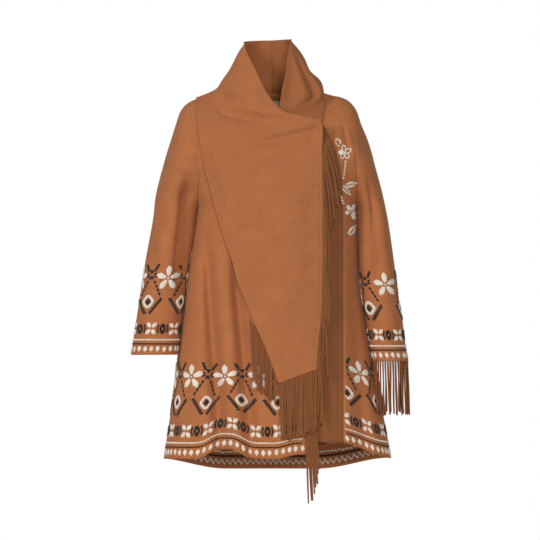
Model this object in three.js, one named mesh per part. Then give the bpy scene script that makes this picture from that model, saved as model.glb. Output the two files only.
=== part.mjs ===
// A fringed scarf-collar coat in thick wool felt, standing open as if worn. Millimetres, +Z up, front towards -Y.
// The origin lies on the wearer's shoulders, at the middle of the neck. The wearer's right is -X.
import * as THREE from "three";

// ---- Driving dimensions -----------------------------------------------------------------------------------------
const FELT = 2.2; // thickness of the coat's felt
const FRINGE = 3.0; // thickness of a fringe's solid
const SEAM = 0.4; // gap between two pieces that are sewn together
const MIDDLE_Y = 8; // the side seams and the shoulder ridge lie this far back
const ARMPIT_Z = -262;
const CUFF_Z = -619;
const FRONT_HEM_Z = -862;
const BACK_HEM_Z = -902;
const ROUND = 2.4; // power of the body's rounded sections: 2 is an ellipse
const SHOULDER_DEPTH = 140; // the shoulders round away over this height
const UNDER_LIFT = 5.2; // outer face of the under scarf, above the front's outer face
const OVER_LIFT = 10.4; // outer face of the upper scarf
const SHOULDER_LIFT = 4.6; // outer face of the collar and scarf where they lie on the shoulder
const CUFF_FRINGE_LENGTH = 130;
const RIGHT = -1; // the wearer's right side
const LEFT = 1;

// ---- Small helpers ----------------------------------------------------------------------------------------------
const clamp = THREE.MathUtils.clamp;
const mix = THREE.MathUtils.lerp;
const smooth = (t) => THREE.MathUtils.smoothstep(t, 0, 1);

// A smooth curve through [position, value] pairs, flat beyond both ends.
function track(pairs) {
  const at = pairs.map((p) => p[0]);
  const value = pairs.map((p) => p[1]);
  const slope = at.map((_, i) => {
    const a = Math.max(i - 1, 0);
    const b = Math.min(i + 1, at.length - 1);
    return (value[b] - value[a]) / (at[b] - at[a]);
  });
  return (x) => {
    if (x <= at[0]) return value[0];
    if (x >= at[at.length - 1]) return value[at.length - 1];
    const i = at.findIndex((a) => a > x) - 1;
    const step = at[i + 1] - at[i];
    const t = (x - at[i]) / step;
    const rise = value[i + 1] - value[i];
    const bend = t * (1 - t) * ((1 - t) * (slope[i] * step - rise) - t * (slope[i + 1] * step - rise));
    return value[i] + rise * t + bend;
  };
}

// A smooth curve through points, as a function of 0 to 1 with the points evenly spaced.
function route(points) {
  const tracks = points[0].map((_, k) => track(points.map((p, i) => [i / (points.length - 1), p[k]])));
  return (t) => tracks.map((f) => f(t));
}

// ---- The form that the coat hangs on -----------------------------------------------------------------------------
// Half-width of the body from hem to armpit, by side.
const HALF_WIDTH = {
  [RIGHT]: track([[-910, 266], [-870, 261], [-720, 239], [-570, 222], [-430, 203], [-330, 187], [ARMPIT_Z, 178]]),
  [LEFT]: track([[-910, 294], [-866, 287], [-758, 267], [-631, 242], [-547, 227], [-430, 209], [ARMPIT_Z, 203]]),
};
// Above the armpit the section widens into the shoulder.
const WIDENING = track([[ARMPIT_Z, 0], [-235, 11], [-200, 30], [-160, 60], [-120, 92], [-80, 120]]);
// Top line of the shoulder, by distance from the middle.
const RIDGE = {
  [RIGHT]: track([
    [0, 42], [60, 34], [110, 18], [138, 9], [156, 5], [173, -1], [190, -6], [209, -18], [222, -36],
    [229, -56], [250, -124], [273, -206], [287, -295],
  ]),
  [LEFT]: track([
    [0, 42], [60, 34], [100, 20], [126, 11], [151, 4], [163, 2], [186, -9], [204, -32], [215, -64],
    [232, -106], [250, -170], [269, -243], [280, -298],
  ]),
};
const FRONT_DEPTH = track([[-910, 166], [-700, 152], [-450, 134], [ARMPIT_Z, 126], [-150, 118], [-74, 98], [-30, 84], [0, 74]]);
const BACK_DEPTH = track([[-910, 172], [-700, 156], [-450, 136], [ARMPIT_Z, 126], [-120, 124], [0, 106]]);

const bodyWidth = (side, z) => HALF_WIDTH[side](z) + WIDENING(z);
const roundness = (share) => Math.pow(Math.max(0, 1 - Math.pow(clamp(share, 0, 1), ROUND)), 1 / ROUND);

// How much of its full depth the form has at a point seen from the front, given the half-width of its section.
function fullness(x, z, width) {
  const side = x < 0 ? RIGHT : LEFT;
  const below = clamp((RIDGE[side](Math.abs(x)) - z) / SHOULDER_DEPTH, 0, 1);
  return roundness(Math.abs(x) / width) * Math.sqrt(1 - (1 - below) ** 2);
}

// Main soft folds of the skirt: [x at the top, z at the top, x at the hem, width, depth].
const FRONT_FOLDS = [
  [-158, -330, -122, 26, 17],
  [-96, -370, -46, 24, 11],
  [176, -420, 212, 26, 10],
];
const BACK_FOLDS = [
  [-120, -380, -168, 34, 15],
  [-36, -420, -52, 36, 12],
  [52, -400, 70, 36, 14],
  [132, -380, 186, 34, 15],
];
function foldDepth(folds, x, z) {
  let depth = 0;
  for (const [topX, topZ, hemX, width, deepest] of folds) {
    const down = clamp((topZ - z) / (topZ - FRONT_HEM_Z), 0, 1.05);
    const off = (x - mix(topX, hemX, down)) / (width * (0.7 + 0.5 * down));
    depth += deepest * smooth(down * 1.6) * Math.exp(-off * off);
  }
  return depth;
}

function frontY(x, z) {
  const width = bodyWidth(x < 0 ? RIGHT : LEFT, z);
  const flat = roundness(Math.abs(x) / width);
  return MIDDLE_Y - FRONT_DEPTH(z) * fullness(x, z, width) + foldDepth(FRONT_FOLDS, x, z) * flat;
}
function backY(x, z) {
  const width = bodyWidth(x < 0 ? RIGHT : LEFT, z);
  const flat = roundness(Math.abs(x) / width);
  return MIDDLE_Y + BACK_DEPTH(z) * fullness(x, z, width) - foldDepth(BACK_FOLDS, x, z) * flat;
}

// A point of the form's front or back, moved out along the surface's normal.
function lifted(x, z, surfaceY, facing, lift) {
  const step = 2;
  const slopeX = (surfaceY(x + step, z) - surfaceY(x - step, z)) / (2 * step);
  const slopeZ = (surfaceY(x, z + step) - surfaceY(x, z - step)) / (2 * step);
  const normal = new THREE.Vector3(-slopeX, 1, -slopeZ).multiplyScalar(facing).normalize();
  return [x + normal.x * lift, surfaceY(x, z) + normal.y * lift, z + normal.z * lift];
}
const onFront = (x, z, lift) => lifted(x, z, frontY, -1, lift);
const onBack = (x, z, lift) => lifted(x, z, backY, 1, lift);

// ---- Walls ------------------------------------------------------------------------------------------------------
const away = (a, b) => a.map((v, k) => v - b[k]);
const unit = (a) => {
  const size = Math.hypot(...a) || 1;
  return a.map((v) => v / size);
};
const cross = (a, b) => [a[1] * b[2] - a[2] * b[1], a[2] * b[0] - a[0] * b[2], a[0] * b[1] - a[1] * b[0]];

// Moves the first and last points of each row in by half a seam.
function seamed(grid, gap = SEAM) {
  const pull = (a, b) => {
    const d = unit(away(b, a));
    return a.map((v, k) => v + (d[k] * gap) / 2);
  };
  return grid.map((row) => {
    const out = row.slice();
    out[0] = pull(row[0], row[1]);
    out[row.length - 1] = pull(row[row.length - 1], row[row.length - 2]);
    return out;
  });
}

// A closed cloth wall: the grid is its outer face, seen with rows going up and points going left to right.
// Where the cloth goes on in another piece, nextBelow or nextAbove is that piece's nearest row, so that both pieces
// end square to the same surface; it may leave out points at either end with null.
function wall(grid, { thickness = FELT, nextBelow = [], nextAbove = [] } = {}) {
  const rows = grid.length;
  const columns = grid[0].length;
  const positions = [];
  const inner = grid.map((row, i) =>
    row.map((p, j) => {
      const above = i + 1 < rows ? grid[i + 1][j] : (nextAbove[j] ?? p);
      const below = i > 0 ? grid[i - 1][j] : (nextBelow[j] ?? p);
      const up = away(above, below);
      const along = away(row[Math.min(j + 1, columns - 1)], row[Math.max(j - 1, 0)]);
      const normal = unit(cross(along, up));
      return p.map((v, k) => v - normal[k] * thickness);
    }),
  );
  for (const face of [grid, inner]) for (const row of face) for (const p of row) positions.push(...p);
  const outerAt = (i, j) => i * columns + j;
  const innerAt = (i, j) => rows * columns + i * columns + j;
  const index = [];
  const quad = (a, b, c, d) => index.push(a, b, c, a, c, d);
  for (let i = 0; i + 1 < rows; i++) {
    for (let j = 0; j + 1 < columns; j++) {
      quad(outerAt(i, j), outerAt(i, j + 1), outerAt(i + 1, j + 1), outerAt(i + 1, j));
      quad(innerAt(i, j), innerAt(i + 1, j), innerAt(i + 1, j + 1), innerAt(i, j + 1));
    }
    quad(outerAt(i + 1, 0), innerAt(i + 1, 0), innerAt(i, 0), outerAt(i, 0));
    const j = columns - 1;
    quad(outerAt(i, j), innerAt(i, j), innerAt(i + 1, j), outerAt(i + 1, j));
  }
  for (let j = 0; j + 1 < columns; j++) {
    quad(outerAt(0, j), innerAt(0, j), innerAt(0, j + 1), outerAt(0, j + 1));
    const i = rows - 1;
    quad(outerAt(i, j + 1), innerAt(i, j + 1), innerAt(i, j), outerAt(i, j));
  }
  const geometry = new THREE.BufferGeometry();
  geometry.setAttribute("position", new THREE.Float32BufferAttribute(positions, 3));
  geometry.setIndex(index);
  geometry.computeVertexNormals();
  return geometry;
}

// A grid of points from two edges seen from the front or back, each a route of [x, z], laid on the form.
function laid(rows, columns, leftEdge, rightEdge, place) {
  return Array.from({ length: rows + 1 }, (_, i) => {
    const [x0, z0] = leftEdge(i / rows);
    const [x1, z1] = rightEdge(i / rows);
    return Array.from({ length: columns + 1 }, (_, j) => {
      const s = j / columns;
      return place(mix(x0, x1, s), mix(z0, z1, s), s, i / rows);
    });
  });
}

// ---- Raglan seams -----------------------------------------------------------------------------------------------
// Each row above the armpit joins the sleeve at a seam point and, on a panel, ends at its middle edge's height.
const SEAM_ROWS = 9;
const FRONT_SEAM = {
  [RIGHT]: route([
    [178, -262], [178, -238], [177, -204], [178, -168], [180, -132], [181, -100], [180, -72], [173, -50],
    [150, -34], [118, -18],
  ]),
  [LEFT]: route([
    [203, -262], [204, -238], [204, -206], [203, -170], [201, -136], [196, -104], [187, -78], [172, -56],
    [144, -32], [110, -16],
  ]),
};
const BACK_SEAM = {
  [RIGHT]: route([
    [178, -262], [178, -238], [178, -204], [178, -168], [176, -132], [171, -100], [162, -68], [148, -40],
    [126, -16], [102, 4],
  ]),
  [LEFT]: route([
    [203, -262], [203, -238], [201, -206], [197, -170], [191, -136], [183, -104], [171, -72], [153, -42],
    [128, -16], [102, 4],
  ]),
};
const FRONT_MIDDLE_Z = track([[0, ARMPIT_Z], [0.3, -182], [0.6, -122], [1, -78]]);
const BACK_MIDDLE_Z = track([[0, ARMPIT_Z], [0.3, -176], [0.6, -92], [1, 10]]);

function seamPoint(side, facing, t) {
  const [x, z] = (facing < 0 ? FRONT_SEAM : BACK_SEAM)[side](t);
  const y = (facing < 0 ? frontY : backY)(side * x, z);
  return [side * x, y, z];
}

// ---- Body panels ------------------------------------------------------------------------------------------------
const HEM_ROWS = 10;
const hemArch = (x) => 24 * Math.exp(-((Math.abs(x + 113) / 47) ** 3));
const rightHem = (x) => mix(FRONT_HEM_Z - 7, FRONT_HEM_Z + 4, smooth((x - 5) / 60)) + hemArch(x);
const leftHem = (x) => mix(-829, -868, smooth((x - 160) / 135));
const backHem = (x) => mix(BACK_HEM_Z + 6, -868, smooth((Math.abs(x) - 110) / 180));

// One half of a panel's row: shares 0 to 1 go from the middle to the side seam, packed closer where it turns.
const turning = (share) => Math.pow(Math.sin((share * Math.PI) / 2), 2 / ROUND);

// A point of a front or back panel. down is 1 at the armpit row and 0 at the hem; above the armpit up is 0 to 1.
function skirtPoint(side, facing, share, down) {
  const hemX = side * turning(share) * HALF_WIDTH[side](-870);
  const hem = (facing < 0 ? rightHem : backHem)(hemX);
  const z = mix(hem, ARMPIT_Z, down);
  const x = side * turning(share) * HALF_WIDTH[side](z);
  const y = (facing < 0 ? frontY : backY)(x, z);
  return [x, share > 0.999 ? MIDDLE_Y : y, z];
}
function yokePoint(side, facing, share, up) {
  const [seamX, seamZ] = (facing < 0 ? FRONT_SEAM : BACK_SEAM)[side](up);
  const middleZ = (facing < 0 ? FRONT_MIDDLE_Z : BACK_MIDDLE_Z)(up);
  const x = side * turning(share) * seamX;
  const z = mix(middleZ, seamZ, smooth(turning(share)));
  const y = (facing < 0 ? frontY : backY)(x, z);
  return [x, up === 0 && share > 0.999 ? MIDDLE_Y : y, z];
}
// shares is a list of [side, share] from left to right as seen from outside.
function panel(facing, shares, neckRows = SEAM_ROWS) {
  const grid = [];
  for (let i = 0; i < HEM_ROWS; i++) {
    grid.push(shares.map(([side, share]) => skirtPoint(side, facing, share, i / HEM_ROWS)));
  }
  for (let i = 0; i <= neckRows; i++) {
    grid.push(shares.map(([side, share]) => yokePoint(side, facing, share, i / SEAM_ROWS)));
  }
  return grid;
}
const spread = (side, from, to, count) =>
  Array.from({ length: count + 1 }, (_, i) => [side, mix(from, to, i / count)]);

const RIGHT_FRONT_REACH = 0.147; // the wearer's right front passes the middle by this share
const BAND_FROM_X = 62; // the left front's plain band hangs straight between these two lines
const BAND_TO_X = 172;
const BAND_SET_BACK = 7; // the band lies this far behind the right front
// Above the armpit both lines lean in to the neck.
const bandLean = track([[0, 1], [0.2, 0.92], [0.4, 0.74], [0.6, 0.58], [1, 0.38]]);

function frontRight() {
  const shares = [...spread(RIGHT, 1, 0, 12), ...spread(LEFT, RIGHT_FRONT_REACH / 2, RIGHT_FRONT_REACH, 1)];
  return seamed(panel(-1, shares));
}
// Moves the left front back where the right front lies over it; towards the neck it joins the sleeve sooner.
function setBack(grid) {
  const amount = (x, z) => BAND_SET_BACK * (1 - smooth((x - 70) / mix(26, 80, smooth((-z - 90) / 60))));
  return grid.map((row) => row.map(([x, y, z]) => [x, y + amount(x, z), z]));
}
// The left front: shares 0 to 1 go from the x of one line to that of another at every height.
function leftFrontPart(count, fromX, toX, gap = SEAM) {
  const shares = Array.from({ length: count + 1 }, (_, j) => j / count);
  const rowAt = (from, to, zAt) =>
    shares.map((share) => {
      const x = mix(from, to, toX ? share : Math.sin((share * Math.PI) / 2));
      const z = zAt(x);
      const onSideSeam = !toX && share === 1 && z <= ARMPIT_Z + 0.01;
      return [x, onSideSeam ? MIDDLE_Y : frontY(x, z), z];
    });
  const grid = [];
  for (let i = 0; i < HEM_ROWS; i++) {
    const down = i / HEM_ROWS;
    const sideX = HALF_WIDTH[LEFT](mix(-868, ARMPIT_Z, down));
    grid.push(rowAt(fromX, toX ?? sideX, (x) => mix(leftHem(x * (HALF_WIDTH[LEFT](-868) / sideX)), ARMPIT_Z, down)));
  }
  for (let i = 0; i <= SEAM_ROWS; i++) {
    const up = i / SEAM_ROWS;
    const [seamX, seamZ] = FRONT_SEAM[LEFT](up);
    const lean = bandLean(up);
    const height = (x) => mix(FRONT_MIDDLE_Z(up), seamZ, smooth(x / seamX));
    grid.push(rowAt(fromX * lean, toX ? toX * lean : seamX, height));
  }
  return seamed(setBack(grid), gap);
}
const frontLeft = () => leftFrontPart(6, BAND_TO_X, null, 2 * SEAM);
const frontBand = () => leftFrontPart(4, BAND_FROM_X, BAND_TO_X, 3 * SEAM);
function back() {
  const shares = [...spread(LEFT, 1, 0, 11), ...spread(RIGHT, 1 / 11, 1, 10)];
  return seamed(panel(1, shares));
}

// ---- Sleeves ----------------------------------------------------------------------------------------------------
const SLEEVE = {
  [RIGHT]: {
    outer: track([[CUFF_Z, 340], [-576, 333], [-466, 316], [-394, 305], [-295, 287], [-230, 279], [-150, 258]]),
    inner: track([[CUFF_Z, 232], [-576, 226], [-466, 211], [-394, 200], [-330, 189], [ARMPIT_Z, 180]]),
    middle: track([[CUFF_Z, -24], [-450, -6], [ARMPIT_Z, MIDDLE_Y]]),
  },
  [LEFT]: {
    outer: track([[-634, 329], [-598, 322], [-542, 315], [-473, 304], [-410, 296], [-298, 280], [-230, 266], [-150, 245]]),
    inner: track([[-634, 246], [-598, 240], [-542, 230], [-473, 217], [-410, 211], [-330, 206], [ARMPIT_Z, 205]]),
    middle: track([[-634, -28], [-450, -8], [ARMPIT_Z, MIDDLE_Y]]),
  },
};
const SLEEVE_DEPTH = track([[-640, 57], [-400, 63], [ARMPIT_Z, 66], [-160, 70]]);
const SLEEVE_ROWS = 7;
const SLEEVE_POINTS = 16;
const CAP_TOP_X = {
  [RIGHT]: track([[0, 283], [0.3, 262], [0.5, 245], [0.7, 222], [0.85, 180], [1, 126]]),
  [LEFT]: track([[0, 273], [0.3, 250], [0.5, 232], [0.7, 206], [0.85, 168], [1, 118]]),
};
const CAP_WIDTH = 300; // half-width of the section that the shoulder caps are part of

// A ring of the sleeve's tube, from its underarm forward and round. turn is 0 to 1.
function tubePoint(side, turn, z) {
  const { outer, inner, middle } = SLEEVE[side];
  const centre = (outer(z) + inner(z)) / 2;
  const half = (outer(z) - inner(z)) / 2;
  const angle = turn * 2 * Math.PI;
  return [side * (centre - half * Math.cos(angle)), middle(z) - SLEEVE_DEPTH(z) * Math.sin(angle), z];
}
// An arc of the shoulder cap from the front seam over the ridge to the back seam.
function capPoint(side, turn, up) {
  const facing = turn < 0.5 ? -1 : 1;
  const [seamX, seamZ] = (facing < 0 ? FRONT_SEAM : BACK_SEAM)[side](up);
  const topX = CAP_TOP_X[side](up);
  const topZ = RIDGE[side](topX);
  const along = Math.sin(turn * Math.PI);
  const x = side * mix(seamX, topX, along);
  const z = mix(seamZ, topZ, along);
  const depth = (facing < 0 ? FRONT_DEPTH(z) : BACK_DEPTH(z)) * fullness(x, z, CAP_WIDTH);
  return [x, MIDDLE_Y + (along > 0.9999 ? 0 : facing * depth), z];
}
function sleeve(side) {
  const cuff = side === RIGHT ? CUFF_Z : -634;
  const turns = Array.from({ length: SLEEVE_POINTS + 1 }, (_, j) => j / SLEEVE_POINTS);
  const grid = [];
  for (let i = 0; i < SLEEVE_ROWS; i++) {
    grid.push(turns.map((turn) => tubePoint(side, turn, mix(cuff, ARMPIT_Z - 6, i / (SLEEVE_ROWS - 1)))));
  }
  for (let i = 1; i <= SEAM_ROWS; i++) {
    const up = i / SEAM_ROWS;
    const front = seamPoint(side, -1, up);
    const rear = seamPoint(side, 1, up);
    const tubeShare = 1 - smooth((up - 0.02) / 0.5);
    // Between the two seams the row takes what is left of the tube's turn.
    const open = [MIDDLE_Y - front[1], rear[1] - MIDDLE_Y].map((y) => Math.asin(clamp(y / 78, 0, 0.98)) / (2 * Math.PI));
    const row = turns.map((turn) => {
      const cap = capPoint(side, turn, up);
      const tube = tubePoint(side, mix(open[0], 1 - open[1], turn), Math.min(cap[2], -150));
      tube[2] = cap[2];
      return cap.map((v, k) => mix(v, tube[k], tubeShare));
    });
    const missFront = away(front, row[0]);
    const missRear = away(rear, row[SLEEVE_POINTS]);
    grid.push(
      row.map((p, j) => {
        const nearFront = Math.max(0, 1 - turns[j] / 0.3) ** 2;
        const nearRear = Math.max(0, 1 - (1 - turns[j]) / 0.3) ** 2;
        return p.map((v, k) => v + missFront[k] * nearFront + missRear[k] * nearRear);
      }),
    );
  }
  // Seen from outside, the wearer's left sleeve runs front to back from left to right.
  return seamed(side === LEFT ? grid : grid.map((row) => row.slice().reverse()));
}
// The strands hang straight from the cuff and rest against the body's flank.
function cuffFringe() {
  const turns = Array.from({ length: SLEEVE_POINTS + 1 }, (_, j) => j / SLEEVE_POINTS);
  const rows = [-CUFF_FRINGE_LENGTH, -CUFF_FRINGE_LENGTH / 2, -2 * SEAM];
  const flank = (y, z) => HALF_WIDTH[LEFT](z) * roundness(Math.abs(y - MIDDLE_Y) / FRONT_DEPTH(z));
  const grid = rows.map((drop) =>
    turns.map((turn) => {
      const [x, y] = tubePoint(LEFT, turn, -634);
      const z = -634 + drop;
      return [Math.max(x - drop * 0.02, flank(y, z) + 5), y, z];
    }),
  );
  return seamed(grid);
}

// ---- Collar and scarf -------------------------------------------------------------------------------------------
// Each half of the collar flows into one end of a long scarf. The upper end hangs over the shoulder and the front.
const OVER_LEFT_EDGE = route([
  [-181, -3], [-181, -28], [-179, -62], [-172, -106], [-156, -175], [-139, -232], [-115, -326], [-92, -402],
  [-68, -468], [-41, -543], [-12, -612], [16, -688],
]);
const OVER_RIGHT_EDGE = route([
  [-5, -5], [34, -38], [90, -52], [119, -66], [119.5, -140], [119.5, -210], [119.5, -300], [119.5, -375],
  [118.5, -450], [116, -530], [109, -600], [105, -655],
]);
const UNDER_LEFT_EDGE = route([
  [18, -26], [22, -60], [4, -140], [-24, -247], [-40, -370], [-48, -463], [-51, -538], [-20, -566], [14, -590],
  [58, -700], [80, -815],
]);
const UNDER_RIGHT_EDGE = route([
  [125, -18], [118, -64], [116, -140], [116, -230], [115, -330], [114, -430], [112, -520], [110, -600], [109, -680],
  [107, -750], [104, -815],
]);
const HELD_Y = -116; // depth of the scarf at the point where it is held at the wearer's left
const OVER_START_Y = track([[0, MIDDLE_Y], [0.33, -28], [0.67, -74], [1, -84]]); // where each end leaves the collar
const UNDER_START_Y = track([[0, -84], [0.5, -76], [1, -40]]);
const SCARF_ROWS = 22;
const OVER_COLUMNS = 8;
const UNDER_COLUMNS = 4;
const COLLAR_ROWS = 10;

// A point of either scarf end, s across it and t down it: it settles onto the front from the collar.
function overPoint(x, z, s, t) {
  const [px, py, pz] = onFront(x, z, mix(SHOULDER_LIFT, OVER_LIFT, smooth((-z - 20) / 90)));
  const held = mix(py, HELD_Y, smooth((s - 0.3) / 0.7) * Math.exp(-(((z + 66) / 60) ** 2)));
  const hanging = mix(py, OVER_START_Y(s), 1 - smooth(t / 0.24));
  return [px, Math.min(py, held, hanging), pz];
}
function underPoint(x, z, s, t) {
  const [px, py, pz] = onFront(x, z, UNDER_LIFT);
  return [px, Math.min(py, mix(py, UNDER_START_Y(s), 1 - smooth(t / 0.14))), pz];
}
const overGrid = laid(SCARF_ROWS, OVER_COLUMNS, OVER_LEFT_EDGE, OVER_RIGHT_EDGE, overPoint);
const underGrid = laid(SCARF_ROWS, UNDER_COLUMNS, UNDER_LEFT_EDGE, UNDER_RIGHT_EDGE, underPoint);

// Each half of the collar is a cage of points: rows go up from the neck seam to the top edge, and the points of a row
// go from the centre-back seam round the side of the neck to the free front edge.
const HALF_GAP = 0.7; // half the gap at the centre-back seam, where the two halves meet at an angle
const COLLAR_RIGHT = [
  [onBack(-HALF_GAP, 12, 3), onBack(-72, 7, 4), onBack(-146, -10, 7), ...[0, 3, 5, 8].map((j) => overGrid[0][j])],
  [[-HALF_GAP, 74, 28], [-70, 62, 24], [-112, 36, 22], [-136, 6, 20], [-124, -30, 18], [-84, -60, 20], [-18, -70, 20]],
  [[-HALF_GAP, 73, 44], [-62, 58, 43], [-102, 32, 42], [-120, 2, 42], [-112, -26, 42], [-78, -50, 42], [-29, -60, 42]],
  [[-HALF_GAP, 70, 68], [-56, 54, 68], [-88, 30, 68], [-102, 4, 68], [-96, -18, 68], [-74, -38, 68], [-40, -48, 67]],
  [[-HALF_GAP, 66, 95], [-46, 52, 95], [-74, 28, 95], [-88, 4, 95], [-84, -10, 95], [-72, -22, 95], [-54, -28, 94]],
  [[-HALF_GAP, 63, 118], [-38, 50, 118], [-62, 30, 117], [-76, 10, 116], [-75, 2, 116], [-70, -5, 115.5],
    [-63, -9, 115]],
  [[-HALF_GAP, 60, 139], [-24, 52, 138.5], [-44, 40, 137.5], [-58, 27, 136.5], [-64, 19, 135.5], [-67, 11, 135],
    [-69, 3, 134]],
];
const COLLAR_LEFT = [
  [onBack(HALF_GAP, 12, 3), onBack(60, 9, 3.5), onBack(98, 6, 4), [114, MIDDLE_Y, RIDGE[LEFT](114) + SHOULDER_LIFT],
    ...[4, 2, 0].map((j) => underGrid[0][j])],
  [[HALF_GAP, 74, 28], [56, 64, 27], [92, 44, 27], [120, 8, 30], [121, -34, 12], [96, -60, 2], [22, -76, 2]],
  [[HALF_GAP, 73, 44], [54, 63, 44], [88, 42, 44], [113, 8, 45], [108, -28, 38], [88, -50, 30], [26, -68, 26]],
  [[HALF_GAP, 70, 68], [46, 61, 68], [74, 42, 68], [91, 10, 66], [88, -22, 62], [74, -42, 58], [32, -58, 54]],
  [[HALF_GAP, 66, 95], [38, 58, 95], [62, 40, 96], [78, 10, 95], [73, -16, 94], [60, -32, 90], [36, -46, 86]],
  [[HALF_GAP, 63, 118], [28, 57, 119], [48, 44, 120], [62, 18, 119], [58, -4, 118], [50, -18, 115], [39, -26, 113]],
  [[HALF_GAP, 60, 139], [18, 56, 140], [32, 46, 141], [41, 32, 141], [45, 20, 141], [46.5, 12, 141], [47, 6, 141]],
];
// A collar half of twice (or, for the under scarf, three times) the columns of its scarf end, whose first row it
// ends on.
function collarHalf(points, columns, scarfRow) {
  const across = points.map((row) => route(row));
  const grid = Array.from({ length: COLLAR_ROWS + 1 }, (_, i) =>
    Array.from({ length: columns + 1 }, (_, j) => route(across.map((f) => f(j / columns)))(i / COLLAR_ROWS)),
  );
  const first = columns - scarfRow.length + 1;
  scarfRow.forEach((p, j) => (grid[0][first + j] = p));
  return grid;
}
const collarRightGrid = collarHalf(COLLAR_RIGHT, 2 * OVER_COLUMNS, overGrid[0]);
const collarLeftGrid = collarHalf(COLLAR_LEFT, 3 * UNDER_COLUMNS, underGrid[0].slice().reverse());

// Leaves a seam's gap below the collar's first row where the scarf starts.
function belowSeam(grid) {
  const first = grid[0].map((p, j) => {
    const d = unit(away(grid[1][j], p));
    return p.map((v, k) => v + d[k] * 1.5 * SEAM);
  });
  return [first, ...grid.slice(1)];
}
const mirrored = (grid) => grid.map((row) => row.slice().reverse());
const bare = (count) => Array(count).fill(null);

// ---- Fringes: plain solids of the strands' reach ----------------------------------------------------------------
const fringe = (rows, columns, leftEdge, rightEdge, lift) =>
  laid(rows, columns, leftEdge, rightEdge, (x, z) => onFront(x, z, lift)).reverse();

// Strands along the upper scarf's straight edge: they fan out at the top and hang in a narrow band below.
const SIDE_FRINGE = [
  [[120.6, -70], [120.6, -150], [120.6, -230], [120.6, -300], [120.6, -375], [119.6, -450], [117.2, -530],
    [110.2, -600], [106, -656], [106.6, -740], [108, -822]],
  [[122, -74], [146, -148], [162, -222], [150, -284], [138, -360], [137, -450], [135, -530], [132, -600],
    [129, -656], [127, -740], [121, -826]],
];
const END_FRINGE = [
  [[16, -689], [17, -755], [19, -822]],
  [[105, -656], [105.3, -730], [105.6, -802]],
];
const UNDER_FRINGE = [
  [[-52, -546], [-55, -590], [-52, -640], [-40, -690]],
  [[13, -598], [13, -640], [13, -690], [13, -728]],
];
const LOW_FRINGE = [
  [[79, -816], [80, -890], [83, -974]],
  [[117, -816], [114, -880], [95, -972]],
];
const [sideLeft, sideRight] = SIDE_FRINGE.map((edge) => route(edge));
const [endLeft, endRight] = END_FRINGE.map((edge) => route(edge));
const [underLeft, underRight] = UNDER_FRINGE.map((edge) => route(edge));
const [lowLeft, lowRight] = LOW_FRINGE.map((edge) => route(edge));

// ---- Neck label -------------------------------------------------------------------------------------------------
function neckLabel() {
  const grid = laid(1, 2, () => [18, -6], () => [-2, -6], (x, z) => onBack(x, z, -FELT - 1));
  const low = grid[0].map((p) => [p[0], p[1], p[2] - 11]);
  const top = grid[0];
  const lean = away(onBack(8, -6, 0), onBack(8, -17, 0));
  return [low.map((p) => [p[0], p[1] - lean[1], p[2]]), top];
}

// ---- Materials and assembly -------------------------------------------------------------------------------------
const felt = (color) => new THREE.MeshStandardMaterial({ color, roughness: 0.92, metalness: 0 });
const coatFelt = felt(0xb06c42);
const collarFelt = felt(0xa9663e);
const bandFelt = felt(0x8a5631);
const strandFelt = felt(0x96592f);
const labelCloth = felt(0xb9aa98);

const coat = new THREE.Group();
function add(name, grid, material, options) {
  const mesh = new THREE.Mesh(wall(grid, options), material);
  mesh.name = name;
  coat.add(mesh);
}
const asFringe = { thickness: FRINGE };

add("back", back(), coatFelt);
add("front_right", frontRight(), coatFelt);
add("front_left", frontLeft(), coatFelt);
add("front_band", frontBand(), bandFelt);
add("sleeve_right", sleeve(RIGHT), coatFelt);
add("sleeve_left", sleeve(LEFT), coatFelt);
add("collar_right", collarRightGrid, collarFelt, { nextBelow: [...bare(OVER_COLUMNS), ...overGrid[1]] });
add("collar_left", mirrored(collarLeftGrid), collarFelt, { nextBelow: [...underGrid[1], ...bare(2 * UNDER_COLUMNS)] });
add("scarf_over", belowSeam(overGrid).reverse(), coatFelt, { nextAbove: collarRightGrid[1].slice(OVER_COLUMNS) });
add("scarf_under", belowSeam(underGrid).reverse(), coatFelt, { nextAbove: mirrored(collarLeftGrid)[1] });
add("fringe_side", fringe(14, 2, sideLeft, sideRight, OVER_LIFT), strandFelt, asFringe);
add("fringe_end", fringe(4, 5, endLeft, endRight, OVER_LIFT), strandFelt, asFringe);
add("fringe_under", fringe(4, 3, underLeft, underRight, UNDER_LIFT), strandFelt, asFringe);
add("fringe_low", fringe(4, 2, lowLeft, lowRight, UNDER_LIFT), strandFelt, asFringe);
add("fringe_cuff", cuffFringe(), strandFelt);
add("neck_label", neckLabel(), labelCloth, { thickness: 0.8 });

export default coat;
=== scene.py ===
"""Looks of a fringed scarf-collar coat in embroidered wool felt, hollow and open as if worn.

The coat's form is worked out here in millimetres, as in its CAD source, and meshes are made in metres (MM).
+Z is up and the front faces -Y. The wearer's right is -X. The origin lies on the shoulders, mid-neck.
"""
import math

import bpy
import numpy as np
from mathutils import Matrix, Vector


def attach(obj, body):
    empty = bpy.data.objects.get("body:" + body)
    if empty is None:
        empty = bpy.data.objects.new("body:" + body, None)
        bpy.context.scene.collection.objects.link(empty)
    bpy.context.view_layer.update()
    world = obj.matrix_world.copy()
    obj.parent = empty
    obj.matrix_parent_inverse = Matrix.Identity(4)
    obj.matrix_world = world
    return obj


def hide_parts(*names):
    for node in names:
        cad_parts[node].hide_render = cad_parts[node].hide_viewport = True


MM = 0.001
RIGHT, LEFT = -1, 1  # the wearer's sides
FRONT, BACK = -1, 1  # which way a panel faces along Y

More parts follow.
